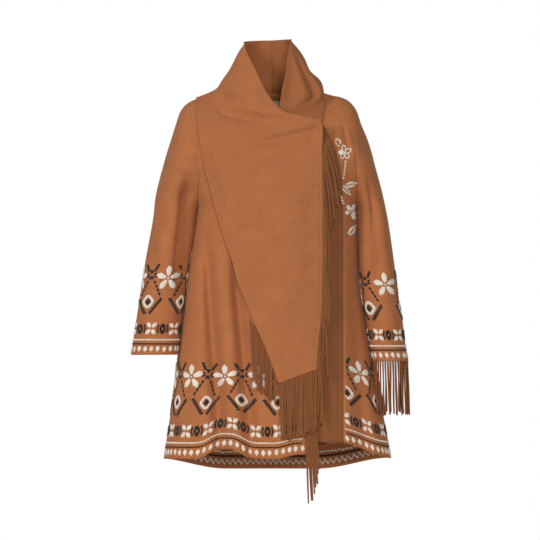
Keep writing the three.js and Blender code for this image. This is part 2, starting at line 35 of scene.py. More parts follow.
# ---- Driving dimensions, as in the CAD source ----
FELT = 2.2  # thickness of the felt
MIDDLE_Y = 8.0  # depth of the side seams and the shoulder ridge
ARMPIT_Z = -262.0
CUFF_Z = {RIGHT: -619.0, LEFT: -634.0}
HEM_Z = -870.0  # level at which widths round the hem are read
LEFT_HEM_Z = -868.0  # hem at the left side seam
FOLD_FOOT_Z = -862.0  # the skirt's folds are at their place at the hem from this level down
SKIRT_HEIGHT = 607.0  # armpit to the right front's hem
ROUND = 2.4  # power of the body's rounded sections
SHOULDER_DEPTH = 140.0  # the shoulders round away over this height
UNDER_LIFT = 5.2  # outer face of the under scarf above the front
OVER_LIFT = 10.4  # outer face of the upper scarf
SHOULDER_LIFT = 4.6  # collar and scarf where they lie on the shoulder
BRIDGED = 0.3  # share of a fold's depth that the scarf sinks into it

# Rows and points of the cloth's grids.
SKIRT_ROWS = 84
YOKE_ROWS = 60
FRONT_POINTS = 96
BACK_POINTS = 90
SLEEVE_ROWS = 90
CAP_ROWS = 72
SLEEVE_TURNS = 112
COLLAR_POINTS = 60

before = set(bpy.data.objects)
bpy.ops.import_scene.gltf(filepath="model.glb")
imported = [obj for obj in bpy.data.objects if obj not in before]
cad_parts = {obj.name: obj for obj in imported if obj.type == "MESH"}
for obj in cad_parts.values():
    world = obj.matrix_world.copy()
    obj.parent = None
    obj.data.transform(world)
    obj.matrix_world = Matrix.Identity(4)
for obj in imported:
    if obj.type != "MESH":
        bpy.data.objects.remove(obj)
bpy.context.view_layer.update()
rng = np.random.default_rng(7)


# ---- Small helpers ----
def mix(a, b, t):
    return a + (b - a) * t


def smooth(t):
    t = np.clip(t, 0, 1)
    return t * t * (3 - 2 * t)


def bell(distance, width):
    return np.exp(-((distance / width) ** 2))


def hermite(a, b, slope_a, slope_b, t):
    rise = b - a
    return a + rise * t + t * (1 - t) * ((1 - t) * (slope_a - rise) - t * (slope_b - rise))


def track(*pairs):
    """A smooth curve through (position, value) pairs, flat beyond both ends."""
    at, value = np.array(pairs, float).T
    slope = np.empty_like(value)
    slope[1:-1] = (value[2:] - value[:-2]) / (at[2:] - at[:-2])
    slope[0] = (value[1] - value[0]) / (at[1] - at[0])
    slope[-1] = (value[-1] - value[-2]) / (at[-1] - at[-2])

    def f(x):
        x = np.clip(x, at[0], at[-1])
        i = np.clip(np.searchsorted(at, x, side="right") - 1, 0, len(at) - 2)
        step = at[i + 1] - at[i]
        return hermite(value[i], value[i + 1], slope[i] * step, slope[i + 1] * step, (x - at[i]) / step)

    return f


def route(points):
    """A smooth curve through evenly spaced points, or through rows of points, as a function of 0 to 1."""
    points = np.asarray(points, float)
    slope = np.gradient(points, axis=0)

    def f(t):
        along = np.clip(t, 0, 1) * (len(points) - 1)
        i = np.minimum(along.astype(int), len(points) - 2)
        t = (along - i).reshape(along.shape + (1,) * (points.ndim - 1))
        return hermite(points[i], points[i + 1], slope[i], slope[i + 1], t)

    return f


def normalised(v):
    return v / np.maximum(np.linalg.norm(v, axis=-1, keepdims=True), 1e-9)


def grid_normals(grid):
    """Outward normals of a grid whose rows go up and whose points go left to right as seen from outside."""
    along = np.gradient(grid, axis=1)
    up = np.gradient(grid, axis=0)
    return normalised(np.cross(along, up))


def segment_distance(x, z, a, b):
    """Distance to the line from a to b, and how far along it the nearest point is, 0 to 1."""
    (ax, az), (bx, bz) = a, b
    dx, dz = bx - ax, bz - az
    t = np.clip(((x - ax) * dx + (z - az) * dz) / (dx * dx + dz * dz), 0, 1)
    return np.hypot(x - ax - t * dx, z - az - t * dz), t


def soft_folds(folds, x, z):
    """Height added by soft ridges (+) and troughs (-), which fade at both ends: (points, width, height)."""
    height = np.zeros(np.broadcast(x, z).shape)
    for points, width, high in folds:
        nearest, place = np.full(height.shape, 1e9), np.zeros(height.shape)
        for k, (a, b) in enumerate(zip(points, points[1:])):
            d, t = segment_distance(x, z, a, b)
            place = np.where(d < nearest, (k + t) / (len(points) - 1), place)
            nearest = np.minimum(nearest, d)
        height = height + high * bell(nearest, width) * smooth(place * 4) * smooth((1 - place) * 4)
    return height


# ---- The form that the coat hangs on ----
# Half-width of the body from hem to armpit, by side.
HALF_WIDTH = {
    RIGHT: track((-910, 266), (-870, 261), (-720, 239), (-570, 222), (-430, 203), (-330, 187),
                 (ARMPIT_Z, 178)),
    LEFT: track((-910, 294), (-866, 287), (-758, 267), (-631, 242), (-547, 227), (-430, 209),
                (ARMPIT_Z, 203)),
}
# Above the armpit the section widens into the shoulder.
WIDENING = track((ARMPIT_Z, 0), (-235, 11), (-200, 30), (-160, 60), (-120, 92), (-80, 120))
# Top line of the shoulder, by distance from the middle.
RIDGE = {
    RIGHT: track((0, 42), (60, 34), (110, 18), (138, 9), (156, 5), (173, -1), (190, -6), (209, -18),
                 (222, -36), (229, -56), (250, -124), (273, -206), (287, -295)),
    LEFT: track((0, 42), (60, 34), (100, 20), (126, 11), (151, 4), (163, 2), (186, -9), (204, -32),
                (215, -64), (232, -106), (250, -170), (269, -243), (280, -298)),
}
FRONT_DEPTH = track((-910, 166), (-700, 152), (-450, 134), (ARMPIT_Z, 126), (-150, 118), (-74, 98),
                    (-30, 84), (0, 74))
BACK_DEPTH = track((-910, 172), (-700, 156), (-450, 136), (ARMPIT_Z, 126), (-120, 124), (0, 106))
# Main soft folds of the skirt: (x at the top, z at the top, x at the hem, width, depth).
FRONT_FOLDS = [(-164, -270, -122, 17, 34), (-98, -310, -46, 17, 28), (190, -380, 222, 20, 18)]
BACK_FOLDS = [(-120, -380, -168, 34, 15), (-36, -420, -52, 36, 12), (52, -400, 70, 36, 14),
              (132, -380, 186, 34, 15)]


def sided(tracks, x, at):
    return np.where(np.asarray(x) < 0, tracks[RIGHT](at), tracks[LEFT](at))


def roundness(share):
    """Depth of a rounded section, 0 to 1, by the share of its half-width."""
    return np.maximum(0, 1 - np.clip(share, 0, 1) ** ROUND) ** (1 / ROUND)


def fullness(x, z, width):
    """How much of its full depth the form has at a point seen from the front."""
    below = np.clip((sided(RIDGE, x, np.abs(x)) - z) / SHOULDER_DEPTH, 0, 1)
    return roundness(np.abs(x) / width) * np.sqrt(1 - (1 - below) ** 2)


def skirt_fold_depth(folds, x, z):
    depth = 0
    for top_x, top_z, hem_x, width, deepest in folds:
        down = np.clip((top_z - z) / (top_z - FOLD_FOOT_Z), 0, 1.05)
        off = (x - mix(top_x, hem_x, down)) / (width * (0.7 + 0.5 * down))
        depth = depth + deepest * smooth(down * 3) * np.exp(-off * off)
    return depth


def front_y(x, z, folds=1.0):
    width = sided(HALF_WIDTH, x, z) + WIDENING(z)
    sunk = folds * skirt_fold_depth(FRONT_FOLDS, x, z) * roundness(np.abs(x) / width)
    return MIDDLE_Y - FRONT_DEPTH(z) * fullness(x, z, width) + sunk


def bridging_front_y(x, z):
    """The front as the scarf lies on it, spanning most of each fold."""
    return front_y(x, z, BRIDGED)


def back_y(x, z):
    width = sided(HALF_WIDTH, x, z) + WIDENING(z)
    sunk = skirt_fold_depth(BACK_FOLDS, x, z) * roundness(np.abs(x) / width)
    return MIDDLE_Y + BACK_DEPTH(z) * fullness(x, z, width) - sunk


def lifted(x, z, surface_y, facing, lift):
    """Points over a surface y(x, z), out from it by lift."""
    step = 2.0
    slope_x = (surface_y(x + step, z) - surface_y(x - step, z)) / (2 * step)
    slope_z = (surface_y(x, z + step) - surface_y(x, z - step)) / (2 * step)
    normal = normalised(np.stack([-slope_x, np.ones_like(slope_x), -slope_z], -1) * facing)
    return np.stack(np.broadcast_arrays(x, surface_y(x, z), z), -1) + normal * np.asarray(lift)[..., None]


def on_front(x, z, lift):
    return lifted(x, z, bridging_front_y, FRONT, lift)


def on_back(x, z, lift):
    return lifted(x, z, back_y, BACK, lift)


# ---- Meshes ----
WELD_WITHIN = 0.02  # points this close become one


def make_object(name, vertices, faces, material):
    mesh = bpy.data.meshes.new(name)
    mesh.from_pydata((np.asarray(vertices) * MM).tolist(), [], faces)
    mesh.polygons.foreach_set("use_smooth", [True] * len(mesh.polygons))
    mesh.update()
    made = bpy.data.objects.new(name, mesh)
    bpy.context.scene.collection.objects.link(made)
    made.data.materials.append(material)
    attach(made, "root")
    return made


def grid_faces(rows, columns, start=0):
    index = start + np.arange(rows * columns).reshape(rows, columns)
    return np.stack([index[:-1, :-1], index[:-1, 1:], index[1:, 1:], index[1:, :-1]], -1).reshape(-1, 4)


def weld(grids):
    """Joins grids that share points into one mesh: its vertices and whole faces."""
    points = np.concatenate([g.reshape(-1, 3) for g in grids])
    faces, start = [], 0
    for g in grids:
        faces.append(grid_faces(g.shape[0], g.shape[1], start))
        start += g.shape[0] * g.shape[1]
    places = np.round(points / WELD_WITHIN).astype(int)
    _, first, back = np.unique(places, axis=0, return_index=True, return_inverse=True)
    faces = back.reshape(-1)[np.concatenate(faces)]
    whole = (np.diff(np.sort(faces, axis=1), axis=1) > 0).all(axis=1)
    return points[first], faces[whole]


def relax(vertices, faces, weight, rounds):
    """Evens out a sheet: each vertex moves towards the middle of its neighbours by its weight; edges stay."""
    edges = np.concatenate([faces[:, [0, 1]], faces[:, [1, 2]], faces[:, [2, 3]], faces[:, [3, 0]]])
    pairs, uses = np.unique(np.sort(edges, axis=1), axis=0, return_counts=True)
    rim = np.zeros(len(vertices), bool)
    rim[pairs[uses == 1].ravel()] = True
    count = np.bincount(pairs.ravel(), minlength=len(vertices))[:, None]
    move = np.where(rim, 0, weight)[:, None]
    for _ in range(rounds):
        total = np.zeros_like(vertices)
        np.add.at(total, pairs[:, 0], vertices[pairs[:, 1]])
        np.add.at(total, pairs[:, 1], vertices[pairs[:, 0]])
        vertices = vertices + (total / count - vertices) * move
    return vertices


def cloth(name, vertices, faces, material, slot, nodes, thickness=FELT):
    """A sheet of cloth: its outer face, made thick inwards."""
    made = make_object(name, vertices, faces.tolist(), material)
    thick = made.modifiers.new("felt", "SOLIDIFY")
    thick.thickness = thickness * MM
    thick.offset = -1
    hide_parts(*nodes)
    return made


def cloth_grid(name, grid, material, nodes, slot="coat_felt", thickness=FELT):
    return cloth(name, *weld([grid]), material, slot, nodes, thickness)


def packed(count, *edges):
    """Shares 0 to 1 with more of them near the edges given, each as (share, reach, extra)."""
    shares = [np.linspace(0, 1, count + 1)]
    for at, reach, extra in edges:
        shares.append(at + reach * np.linspace(-1, 1, 2 * extra + 1))
    return np.unique(np.round(np.clip(np.concatenate(shares), 0, 1), 5))


# ---- Body panels ----
# Raglan seams seen from the front, from the armpit up: (distance from the middle, z).
FRONT_SEAM = {
    RIGHT: route([(178, -262), (178, -238), (177, -204), (178, -168), (180, -132), (181, -100), (180, -72),
                  (173, -50), (150, -34), (118, -18)]),
    LEFT: route([(203, -262), (204, -238), (204, -206), (203, -170), (201, -136), (196, -104), (187, -78),
                 (172, -56), (144, -32), (110, -16)]),
}
BACK_SEAM = {
    RIGHT: route([(178, -262), (178, -238), (178, -204), (178, -168), (176, -132), (171, -100), (162, -68),
                  (148, -40), (126, -16), (102, 4)]),
    LEFT: route([(203, -262), (203, -238), (201, -206), (197, -170), (191, -136), (183, -104), (171, -72),
                 (153, -42), (128, -16), (102, 4)]),
}
# Level of a panel's middle by the share of the way up its raglan seams.
MIDDLE_TOP = {
    FRONT: track((0, ARMPIT_Z), (0.3, -182), (0.6, -122), (1, -78)),
    BACK: track((0, ARMPIT_Z), (0.3, -176), (0.6, -92), (1, 10)),
}
RIGHT_FRONT_REACH = 0.147  # share of the left half that the right front crosses
RIGHT_FRONT_EDGE_X = 84.5  # that reach at the hem
ARCH_FADE = 250.0  # height over which the hem's arch dies away
BAND_FROM_X = 62.0  # the plain band's free edge, under the right front
BAND_TO_X = 172.0  # its seam
BAND_SET_BACK = 7.0
LEFT_FRONT_FOLDS = [
    ([(170, -60), (174, -80), (182, -128), (185, -150)], 6, -6),  # a crease below the raglan seam
    ([(161, -240), (161, -560), (161, -850)], 3, -2.2),  # beside the band's seam
]
# The band's lines lean in towards the neck, by the share of the way up the raglan seam.
BAND_LEAN = track((0, 1), (0.2, 0.92), (0.4, 0.74), (0.6, 0.58), (1, 0.38))


def right_hem(x):
    return mix(-869, -858, smooth((x - 5) / 60))


def left_hem(x):
    return mix(-829, LEFT_HEM_Z, smooth((x - 160) / 135))


def hem_arch(x):
    """How far the right front's hem rises over its main fold."""
    return 24 * np.exp(-((np.abs(x + 113) / 47) ** 3))


def back_hem(x):
    return mix(-896, -868, smooth((np.abs(x) - 110) / 180))


def turning(share):
    """Evens out the spacing of points round a section that turns away at its sides."""
    return np.sin(share * math.pi / 2) ** (2 / ROUND)


def surface_of(facing):
    return front_y if facing == FRONT else back_y


def set_back(x, z):
    """How far the wearer's left front lies behind the right one that crosses it."""
    reach = mix(26, 80, smooth((-z - 90) / 60))
    return BAND_SET_BACK * (1 - smooth((x - 70) / reach)) - soft_folds(LEFT_FRONT_FOLDS, x, z)


def skirt_point(facing, x_share, down):
    """A point of the skirt: x_share is -1 to 1 from side seam to side seam, down is 0 at the hem."""
    hem_x = x_share * sided(HALF_WIDTH, x_share, HEM_Z)
    if facing == FRONT:
        z = mix(np.where(hem_x > RIGHT_FRONT_EDGE_X, left_hem(hem_x), right_hem(hem_x)), ARMPIT_Z, down)
        z = z + hem_arch(hem_x) * smooth(1 - down * SKIRT_HEIGHT / ARCH_FADE)
    else:
        z = mix(back_hem(hem_x), ARMPIT_Z, down)
    x = x_share * sided(HALF_WIDTH, x_share, z)
    return x, surface_of(facing)(x, z), z


def panel(facing, x_shares):
    """x_shares run left to right as seen from outside; rows go up from the hem to the raglan seam's top."""
    x_shares = np.asarray(x_shares)[None]
    down = np.linspace(0, 1, SKIRT_ROWS, endpoint=False)[:, None]
    skirt = np.stack(skirt_point(facing, x_shares, down), -1)
    up = np.linspace(0, 1, YOKE_ROWS + 1)
    seams = FRONT_SEAM if facing == FRONT else BACK_SEAM
    seam = np.where((x_shares < 0)[..., None], seams[RIGHT](up)[:, None], seams[LEFT](up)[:, None])
    x = x_shares * seam[..., 0]
    z = mix(MIDDLE_TOP[facing](up)[:, None], seam[..., 1], smooth(np.abs(x_shares)))
    yoke = np.stack([x, surface_of(facing)(x, z), z], -1)
    return np.concatenate([skirt, yoke])


def seam_roll(grid, left=True, right=True, depth=1.6, reach=5.0):
    """Turns the cloth in along a panel's sewn side edges."""
    grid = grid.copy()
    normal = grid_normals(grid)
    for wanted, order in ((left, slice(None)), (right, slice(None, None, -1))):
        if wanted:
            run = grid[:, order]
            steps = np.linalg.norm(np.diff(run, axis=1), axis=2)
            away = np.concatenate([np.zeros((len(run), 1)), np.cumsum(steps, axis=1)], axis=1)[:, order]
            grid -= normal * (depth * bell(away, reach / 2) * np.abs(normal[..., 1]))[..., None]
    return grid


def edge_shares(side, low, high, count):
    """Shares of one side of a panel, closer together towards the side seam."""
    ends = np.arcsin(np.array([low, high]) ** (ROUND / 2)) * 2 / math.pi
    return side * turning(np.linspace(*ends, count + 1))


def front_right_grid():
    reach = turning(RIGHT_FRONT_REACH)
    right, crossing = edge_shares(RIGHT, 0, 1, FRONT_POINTS), edge_shares(LEFT, 0, reach, 16)
    shares = np.concatenate([right[::-1], crossing[1:]])
    return seam_roll(panel(FRONT, shares), right=False)


def back_grid():
    half = edge_shares(LEFT, 0, 1, BACK_POINTS)
    shares = np.concatenate([half[::-1], -half[1:]])
    return seam_roll(panel(BACK, shares))


def left_front_grid(from_x, to_x, count):
    """Part of the wearer's left front, from one line to another, or to the side seam where to_x is None."""
    share = np.linspace(0, 1, count + 1)[None]
    if to_x is None:
        share = np.sin(share * math.pi / 2)
    down = np.linspace(0, 1, SKIRT_ROWS, endpoint=False)[:, None]
    side_x = HALF_WIDTH[LEFT](mix(LEFT_HEM_Z, ARMPIT_Z, down))
    x = mix(from_x, side_x if to_x is None else to_x + 0 * side_x, share)
    z = mix(left_hem(x * HALF_WIDTH[LEFT](LEFT_HEM_Z) / side_x), ARMPIT_Z, down)
    up = np.linspace(0, 1, YOKE_ROWS + 1)
    seam = FRONT_SEAM[LEFT](up)[:, None]
    lean = BAND_LEAN(up)[:, None]
    top_x = mix(from_x * lean, seam[..., 0] if to_x is None else to_x * lean, share)
    top_z = mix(MIDDLE_TOP[FRONT](up)[:, None], seam[..., 1], smooth(top_x / seam[..., 0]))
    x, z = np.concatenate([x, top_x]), np.concatenate([z, top_z])
    return np.stack([x, front_y(x, z) + set_back(x, z), z], -1)


# ---- Sleeves ----
# Outer and inner outline by height, as distances from the middle.
SLEEVE_OUTER = {
    RIGHT: track((-619, 340), (-576, 333), (-466, 316), (-394, 305), (-295, 287), (-230, 279), (-150, 258)),
    LEFT: track((-634, 329), (-598, 322), (-542, 315), (-473, 304), (-410, 296), (-298, 280), (-230, 266),
                (-150, 245)),
}
SLEEVE_INNER = {
    RIGHT: track((-619, 227.6), (-576, 221.8), (-466, 207), (-394, 197.4), (-330, 186.6), (ARMPIT_Z, 178)),
    LEFT: track((-634, 241.8), (-598, 235.4), (-542, 225.6), (-473, 215), (-410, 207.4), (-330, 204.4),
                (ARMPIT_Z, 203)),
}
SLEEVE_MIDDLE = {
    RIGHT: track((-619, -24), (-450, -6), (ARMPIT_Z, MIDDLE_Y)),
    LEFT: track((-634, -28), (-450, -8), (ARMPIT_Z, MIDDLE_Y)),
}
SLEEVE_DEPTH = track((-640, 57), (-400, 63), (ARMPIT_Z, 66), (-160, 70))
# The cap's crown by the share of the way up the raglan seams, as distances from the middle.
CAP_TOP_X = {
    RIGHT: track((0, 283), (0.3, 262), (0.5, 245), (0.7, 222), (0.85, 180), (1, 126)),
    LEFT: track((0, 273), (0.3, 250), (0.5, 232), (0.7, 206), (0.85, 168), (1, 118)),
}
CAP_WIDTH = 300.0  # half-width of the cap's rounded section
OPEN_DEPTH = 78.0  # depth over which the two seams open the tube near the armpit
CAP_SIDE_Z = -150.0  # the tube's outline is followed up to here
TUCK_IN, TUCK_BACK = 2.4, 1.3  # the sleeve's edges are sewn in just behind the body's
# Soft folds of the sleeves, seen from the front: (points as (x, z), width, height).
SLEEVE_FOLDS = {
    RIGHT: [([(-203, -170), (-204, -274), (-213, -377), (-224, -490)], 17, -27),
            ([(-262, -300), (-272, -400), (-284, -520)], 12, 3),
            ([(-262, -160), (-276, -300), (-292, -470)], 20, -4)],
    LEFT: [([(232, -150), (244, -269), (240, -348), (258, -500)], 15, -15),
           ([(262, -230), (272, -330), (284, -470)], 10, 2.5)],
}


def tube_point(side, angle, z):
    """A point round the sleeve's tube: 0 at the underarm, a quarter turn at the front."""
    outer, inner = SLEEVE_OUTER[side](z), SLEEVE_INNER[side](z)
    x = side * ((outer + inner) / 2 - (outer - inner) / 2 * np.cos(angle))
    return np.stack(np.broadcast_arrays(x, SLEEVE_MIDDLE[side](z) - SLEEVE_DEPTH(z) * np.sin(angle), z), -1)


def cap_point(side, turn, up):
    """The shoulder cap: an arc from the front seam over the shoulder's top line to the back seam."""
    seam = np.where((turn < 0.5)[..., None], FRONT_SEAM[side](up), BACK_SEAM[side](up))
    top_x = CAP_TOP_X[side](up)
    along = np.sin(turn * math.pi)
    x = side * mix(seam[..., 0], top_x, along)
    z = mix(seam[..., 1], RIDGE[side](top_x), along)
    depth = np.where(turn < 0.5, -FRONT_DEPTH(z), BACK_DEPTH(z)) * fullness(x, z, CAP_WIDTH)
    return np.stack([x, MIDDLE_Y + np.where(along > 0.9999, 0, depth), z], -1)


def sleeve_grid(side):
    turn = np.linspace(0, 1, SLEEVE_TURNS + 1)[None]
    z = np.linspace(CUFF_Z[side], ARMPIT_Z - 6, SLEEVE_ROWS)[:, None]
    tube = tube_point(side, turn * 2 * math.pi, z)
    up = np.linspace(0, 1, CAP_ROWS + 1)[1:, None]
    turn, up = np.broadcast_arrays(turn, up)
    edges = []
    for seam, surface_y, tuck in ((FRONT_SEAM, front_y, TUCK_BACK), (BACK_SEAM, back_y, -TUCK_BACK)):
        x, level = side * seam[side](up[:, 0])[:, 0], seam[side](up[:, 0])[:, 1]
        edges.append(np.stack([x, surface_y(x, level), level], -1) + np.array([-side * TUCK_IN, tuck, 0]))
    front, rear = edges
    cap = cap_point(side, turn, up)
    # Near the armpit the row is what the two seams leave of the tube.
    open_front = np.arcsin(np.clip((MIDDLE_Y - front[:, 1]) / OPEN_DEPTH, 0, 0.98))[:, None]
    open_rear = np.arcsin(np.clip((rear[:, 1] - MIDDLE_Y) / OPEN_DEPTH, 0, 0.98))[:, None]
    angle = mix(open_front, 2 * math.pi - open_rear, turn)
    left = tube_point(side, angle, np.minimum(cap[..., 2], CAP_SIDE_Z))
    left[..., 2] = cap[..., 2]
    row = mix(cap, left, (1 - smooth((up - 0.02) / 0.5))[..., None])
    near_front = (np.maximum(0, 1 - turn / 0.3) ** 2)[..., None]
    near_rear = (np.maximum(0, 1 - (1 - turn) / 0.3) ** 2)[..., None]
    row = row + (front[:, None] - row[:, :1]) * near_front + (rear[:, None] - row[:, -1:]) * near_rear
    grid = np.concatenate([tube, row])
    if side == RIGHT:
        grid = grid[:, ::-1]
    forward = smooth(-grid_normals(grid)[..., 1] * 2)
    fold = soft_folds(SLEEVE_FOLDS[side], grid[..., 0], grid[..., 2]) * forward
    grid = grid + grid_normals(grid) * fold[..., None]
    rolled = seam_roll(grid[SLEEVE_ROWS - 1:], depth=1.2)
    return np.concatenate([grid[:SLEEVE_ROWS - 1], rolled])


# ---- Collar and scarf ----
# Side edges of the scarf ends seen from the front, from the shoulder down: (x, z).
OVER_LEFT_EDGE = route([
    (-181, -3), (-181, -28), (-179, -62), (-172, -106), (-156, -175), (-139, -232), (-115, -326),
    (-92, -402), (-68, -468), (-41, -543), (-12, -612), (16, -688)])
OVER_RIGHT_EDGE = route([
    (-5, -5), (34, -38), (90, -52), (119, -66), (119.5, -140), (119.5, -210), (119.5, -300),
    (119.5, -375), (118.5, -450), (116, -530), (109, -600), (105, -655)])
UNDER_LEFT_EDGE = route([
    (18, -26), (22, -60), (4, -140), (-24, -247), (-40, -370), (-48, -463), (-51, -538),
    (-20, -566), (14, -590), (58, -700), (80, -815)])
UNDER_RIGHT_EDGE = route([
    (125, -18), (118, -64), (116, -140), (116, -230), (115, -330), (114, -430), (112, -520),
    (110, -600), (109, -680), (107, -750), (104, -815)])
HELD_Y = -116.0  # how far forward the upper scarf's held corner stands
# Depth of each scarf end's first row, across it.
OVER_START_Y = track((0, MIDDLE_Y), (0.33, -28), (0.67, -74), (1, -84))
UNDER_START_Y = track((0, -84), (0.5, -76), (1, -40))
# Drape of the upper scarf: (points as (x, z), width, height).
OVER_FOLDS = [
    ([(-152, -2), (-113, -30), (-72, -46), (-30, -54), (14, -66)], 15, -8),  # valley down from the shoulder
    ([(-120, 4), (-80, -18), (-30, -32), (20, -46)], 13, 4),  # the roll above it
    ([(-14, -20), (-2, -44), (9, -72)], 8, -4),
    ([(121, -64), (94, -83), (40, -95), (-11, -105), (-56, -114)], 9, -7),  # crease from the held point
    ([(112, -78), (60, -112), (0, -136), (-60, -150)], 15, 4),
    ([(100, -66), (56, -74), (8, -84), (-50, -92)], 10, 4),
    ([(-168, -96), (-152, -150), (-138, -200), (-122, -256), (-108, -316)], 11, -5),  # by the slanting edge
    ([(-181, -110), (-150, -200), (-128, -290), (-100, -390), (-50, -520)], 7, 3.5),
    ([(40, -150), (30, -300), (34, -460), (50, -600)], 46, 4),
    ([(96, -180), (92, -330), (86, -520)], 20, -2.5),
    ([(-30, -190), (-34, -330), (-8, -480)], 30, -2.5),
]


def over_point(x, z, s, t):
    p = on_front(x, z, mix(SHOULDER_LIFT, OVER_LIFT, smooth((-z - 20) / 90)))
    held = mix(p[..., 1], HELD_Y, smooth((s - 0.3) / 0.7) * bell(z + 66, 60))
    hanging = mix(p[..., 1], OVER_START_Y(s), 1 - smooth(t / 0.24))
    p[..., 1] = np.minimum(np.minimum(p[..., 1], held), hanging)
    return p


def under_point(x, z, s, t):
    p = on_front(x, z, UNDER_LIFT)
    p[..., 1] = np.minimum(p[..., 1], mix(p[..., 1], UNDER_START_Y(s), 1 - smooth(t / 0.14)))
    return p


def laid(t, s, left_edge, right_edge, place):
    """A sheet between two edges seen from the front: t down it, s across it."""
    a, b = left_edge(t)[:, None], right_edge(t)[:, None]
    xz = mix(a, b, s[None, :, None])
    return place(xz[..., 0], xz[..., 1], *np.broadcast_arrays(s[None], t[:, None]))


def cage(points, rows, columns):
    """A smooth sheet through rows of points."""
    across = route(np.array(points, float).transpose(1, 0, 2))(columns)
    return route(across.transpose(1, 0, 2))(rows)


def spot(x, z, lift):
    """A point on the back panel, out from it by lift."""
    return on_back(np.array(float(x)), np.array(float(z)), lift).tolist()


SCARF_T = packed(150, (1, 0.02, 8))
OVER_S = packed(96, (0, 0.05, 8), (1, 0.05, 8))
UNDER_S = packed(48, (0, 0.06, 5), (1, 0.06, 5))
over_grid = laid(SCARF_T, OVER_S, OVER_LEFT_EDGE, OVER_RIGHT_EDGE, over_point)
under_grid = laid(SCARF_T, UNDER_S, UNDER_LEFT_EDGE, UNDER_RIGHT_EDGE, under_point)


def start_of(shares, left_edge, right_edge, place):
    """Points along a scarf end's first row."""
    return laid(np.array([0.0]), np.array(shares), left_edge, right_edge, place)[0].tolist()


OVER_START = start_of((0, 0.375, 0.625, 1), OVER_LEFT_EDGE, OVER_RIGHT_EDGE, over_point)
UNDER_START = start_of((1, 0.5, 0), UNDER_LEFT_EDGE, UNDER_RIGHT_EDGE, under_point)
# Rows go up from the neck seam, and points go from the centre-back seam round to the free front edge.
COLLAR_RIGHT = [
    [spot(0, -2, 2.6), spot(-72, -6, 3), spot(-146, -15, 7), *OVER_START],
    [(0, 74, 28), (-70, 62, 24), (-112, 36, 22), (-136, 6, 20), (-124, -30, 18), (-84, -60, 20),
     (-18, -70, 20)],
    [(0, 73, 44), (-62, 58, 43), (-102, 32, 42), (-120, 2, 42), (-112, -26, 42), (-78, -50, 42),
     (-29, -60, 42)],
    [(0, 70, 68), (-56, 54, 68), (-88, 30, 68), (-102, 4, 68), (-96, -18, 68), (-74, -38, 68),
     (-40, -48, 67)],
    [(0, 66, 95), (-46, 52, 95), (-74, 28, 95), (-88, 4, 95), (-84, -10, 95), (-72, -22, 95),
     (-54, -28, 94)],
    [(0, 63, 118), (-38, 50, 118), (-62, 30, 117), (-76, 10, 116), (-75, 2, 116), (-70, -5, 115.5),
     (-63, -9, 115)],
    [(0, 60, 139), (-24, 52, 138.5), (-44, 40, 137.5), (-58, 27, 136.5), (-64, 19, 135.5), (-67, 11, 135),
     (-69, 3, 134)],
]
SHOULDER_X = 114.0  # where the collar's left half crosses the shoulder's top line
COLLAR_LEFT = [
    [spot(0, -2, 2.6), spot(60, -5, 3), spot(98, -6, 3.6),
     (SHOULDER_X, MIDDLE_Y, float(RIDGE[LEFT](SHOULDER_X)) + SHOULDER_LIFT), *UNDER_START],
    [(0, 74, 28), (56, 64, 27), (92, 44, 27), (120, 8, 30), (121, -34, 12), (96, -60, 2), (22, -76, 2)],
    [(0, 73, 44), (54, 63, 44), (88, 42, 44), (113, 8, 45), (108, -28, 38), (88, -50, 30), (26, -68, 26)],
    [(0, 70, 68), (46, 61, 68), (74, 42, 68), (91, 10, 66), (88, -22, 62), (74, -42, 58), (32, -58, 54)],
    [(0, 66, 95), (38, 58, 95), (62, 40, 96), (78, 10, 95), (73, -16, 94), (60, -32, 90), (36, -46, 86)],
    [(0, 63, 118), (28, 57, 119), (48, 44, 120), (62, 18, 119), (58, -4, 118), (50, -18, 115),
     (39, -26, 113)],
    [(0, 60, 139), (18, 56, 140), (32, 46, 141), (41, 32, 141), (45, 20, 141), (46.5, 12, 141),
     (47, 6, 141)],
]
COLLAR_ROWS = np.linspace(0, 1, 61)
# Soft folds of the collar's left half, by height up it and place round it: (round, width, top, height).
COLLAR_FOLDS = [(0.95, 0.03, 0.6, -6), (0.885, 0.035, 0.9, 5), (0.81, 0.03, 0.7, -10), (0.72, 0.04, 0.8, 5)]


def collar_grid(points, scarf_row, scarf_s, joined_from):
    """One half of the collar, whose neck edge runs into the first row of its scarf end."""
    free = np.linspace(0, joined_from, COLLAR_POINTS, endpoint=False)
    columns = np.concatenate([free, joined_from + (1 - joined_from) * scarf_s])
    grid = cage(points, COLLAR_ROWS, columns)
    miss = scarf_row - grid[0, len(free):]
    grid[:, len(free):] += miss[None] * (np.maximum(0, 1 - COLLAR_ROWS / 0.22) ** 2)[:, None, None]
    return grid, columns


def stitched_line(grid, across, along):
    """A shallow groove 7 mm in from the right and lower edges, where the turned edge is sewn down."""
    wide = np.linalg.norm(np.diff(grid, axis=1), axis=2).sum(1)[:, None] * (1 - across[None])
    low = np.linalg.norm(np.diff(grid, axis=0), axis=2).sum(0)[None] * (1 - along[:, None])
    near = np.minimum(wide, low)
    return -0.7 * bell(near - 7, 1.4) - 0.9 * bell(near, 1.6)


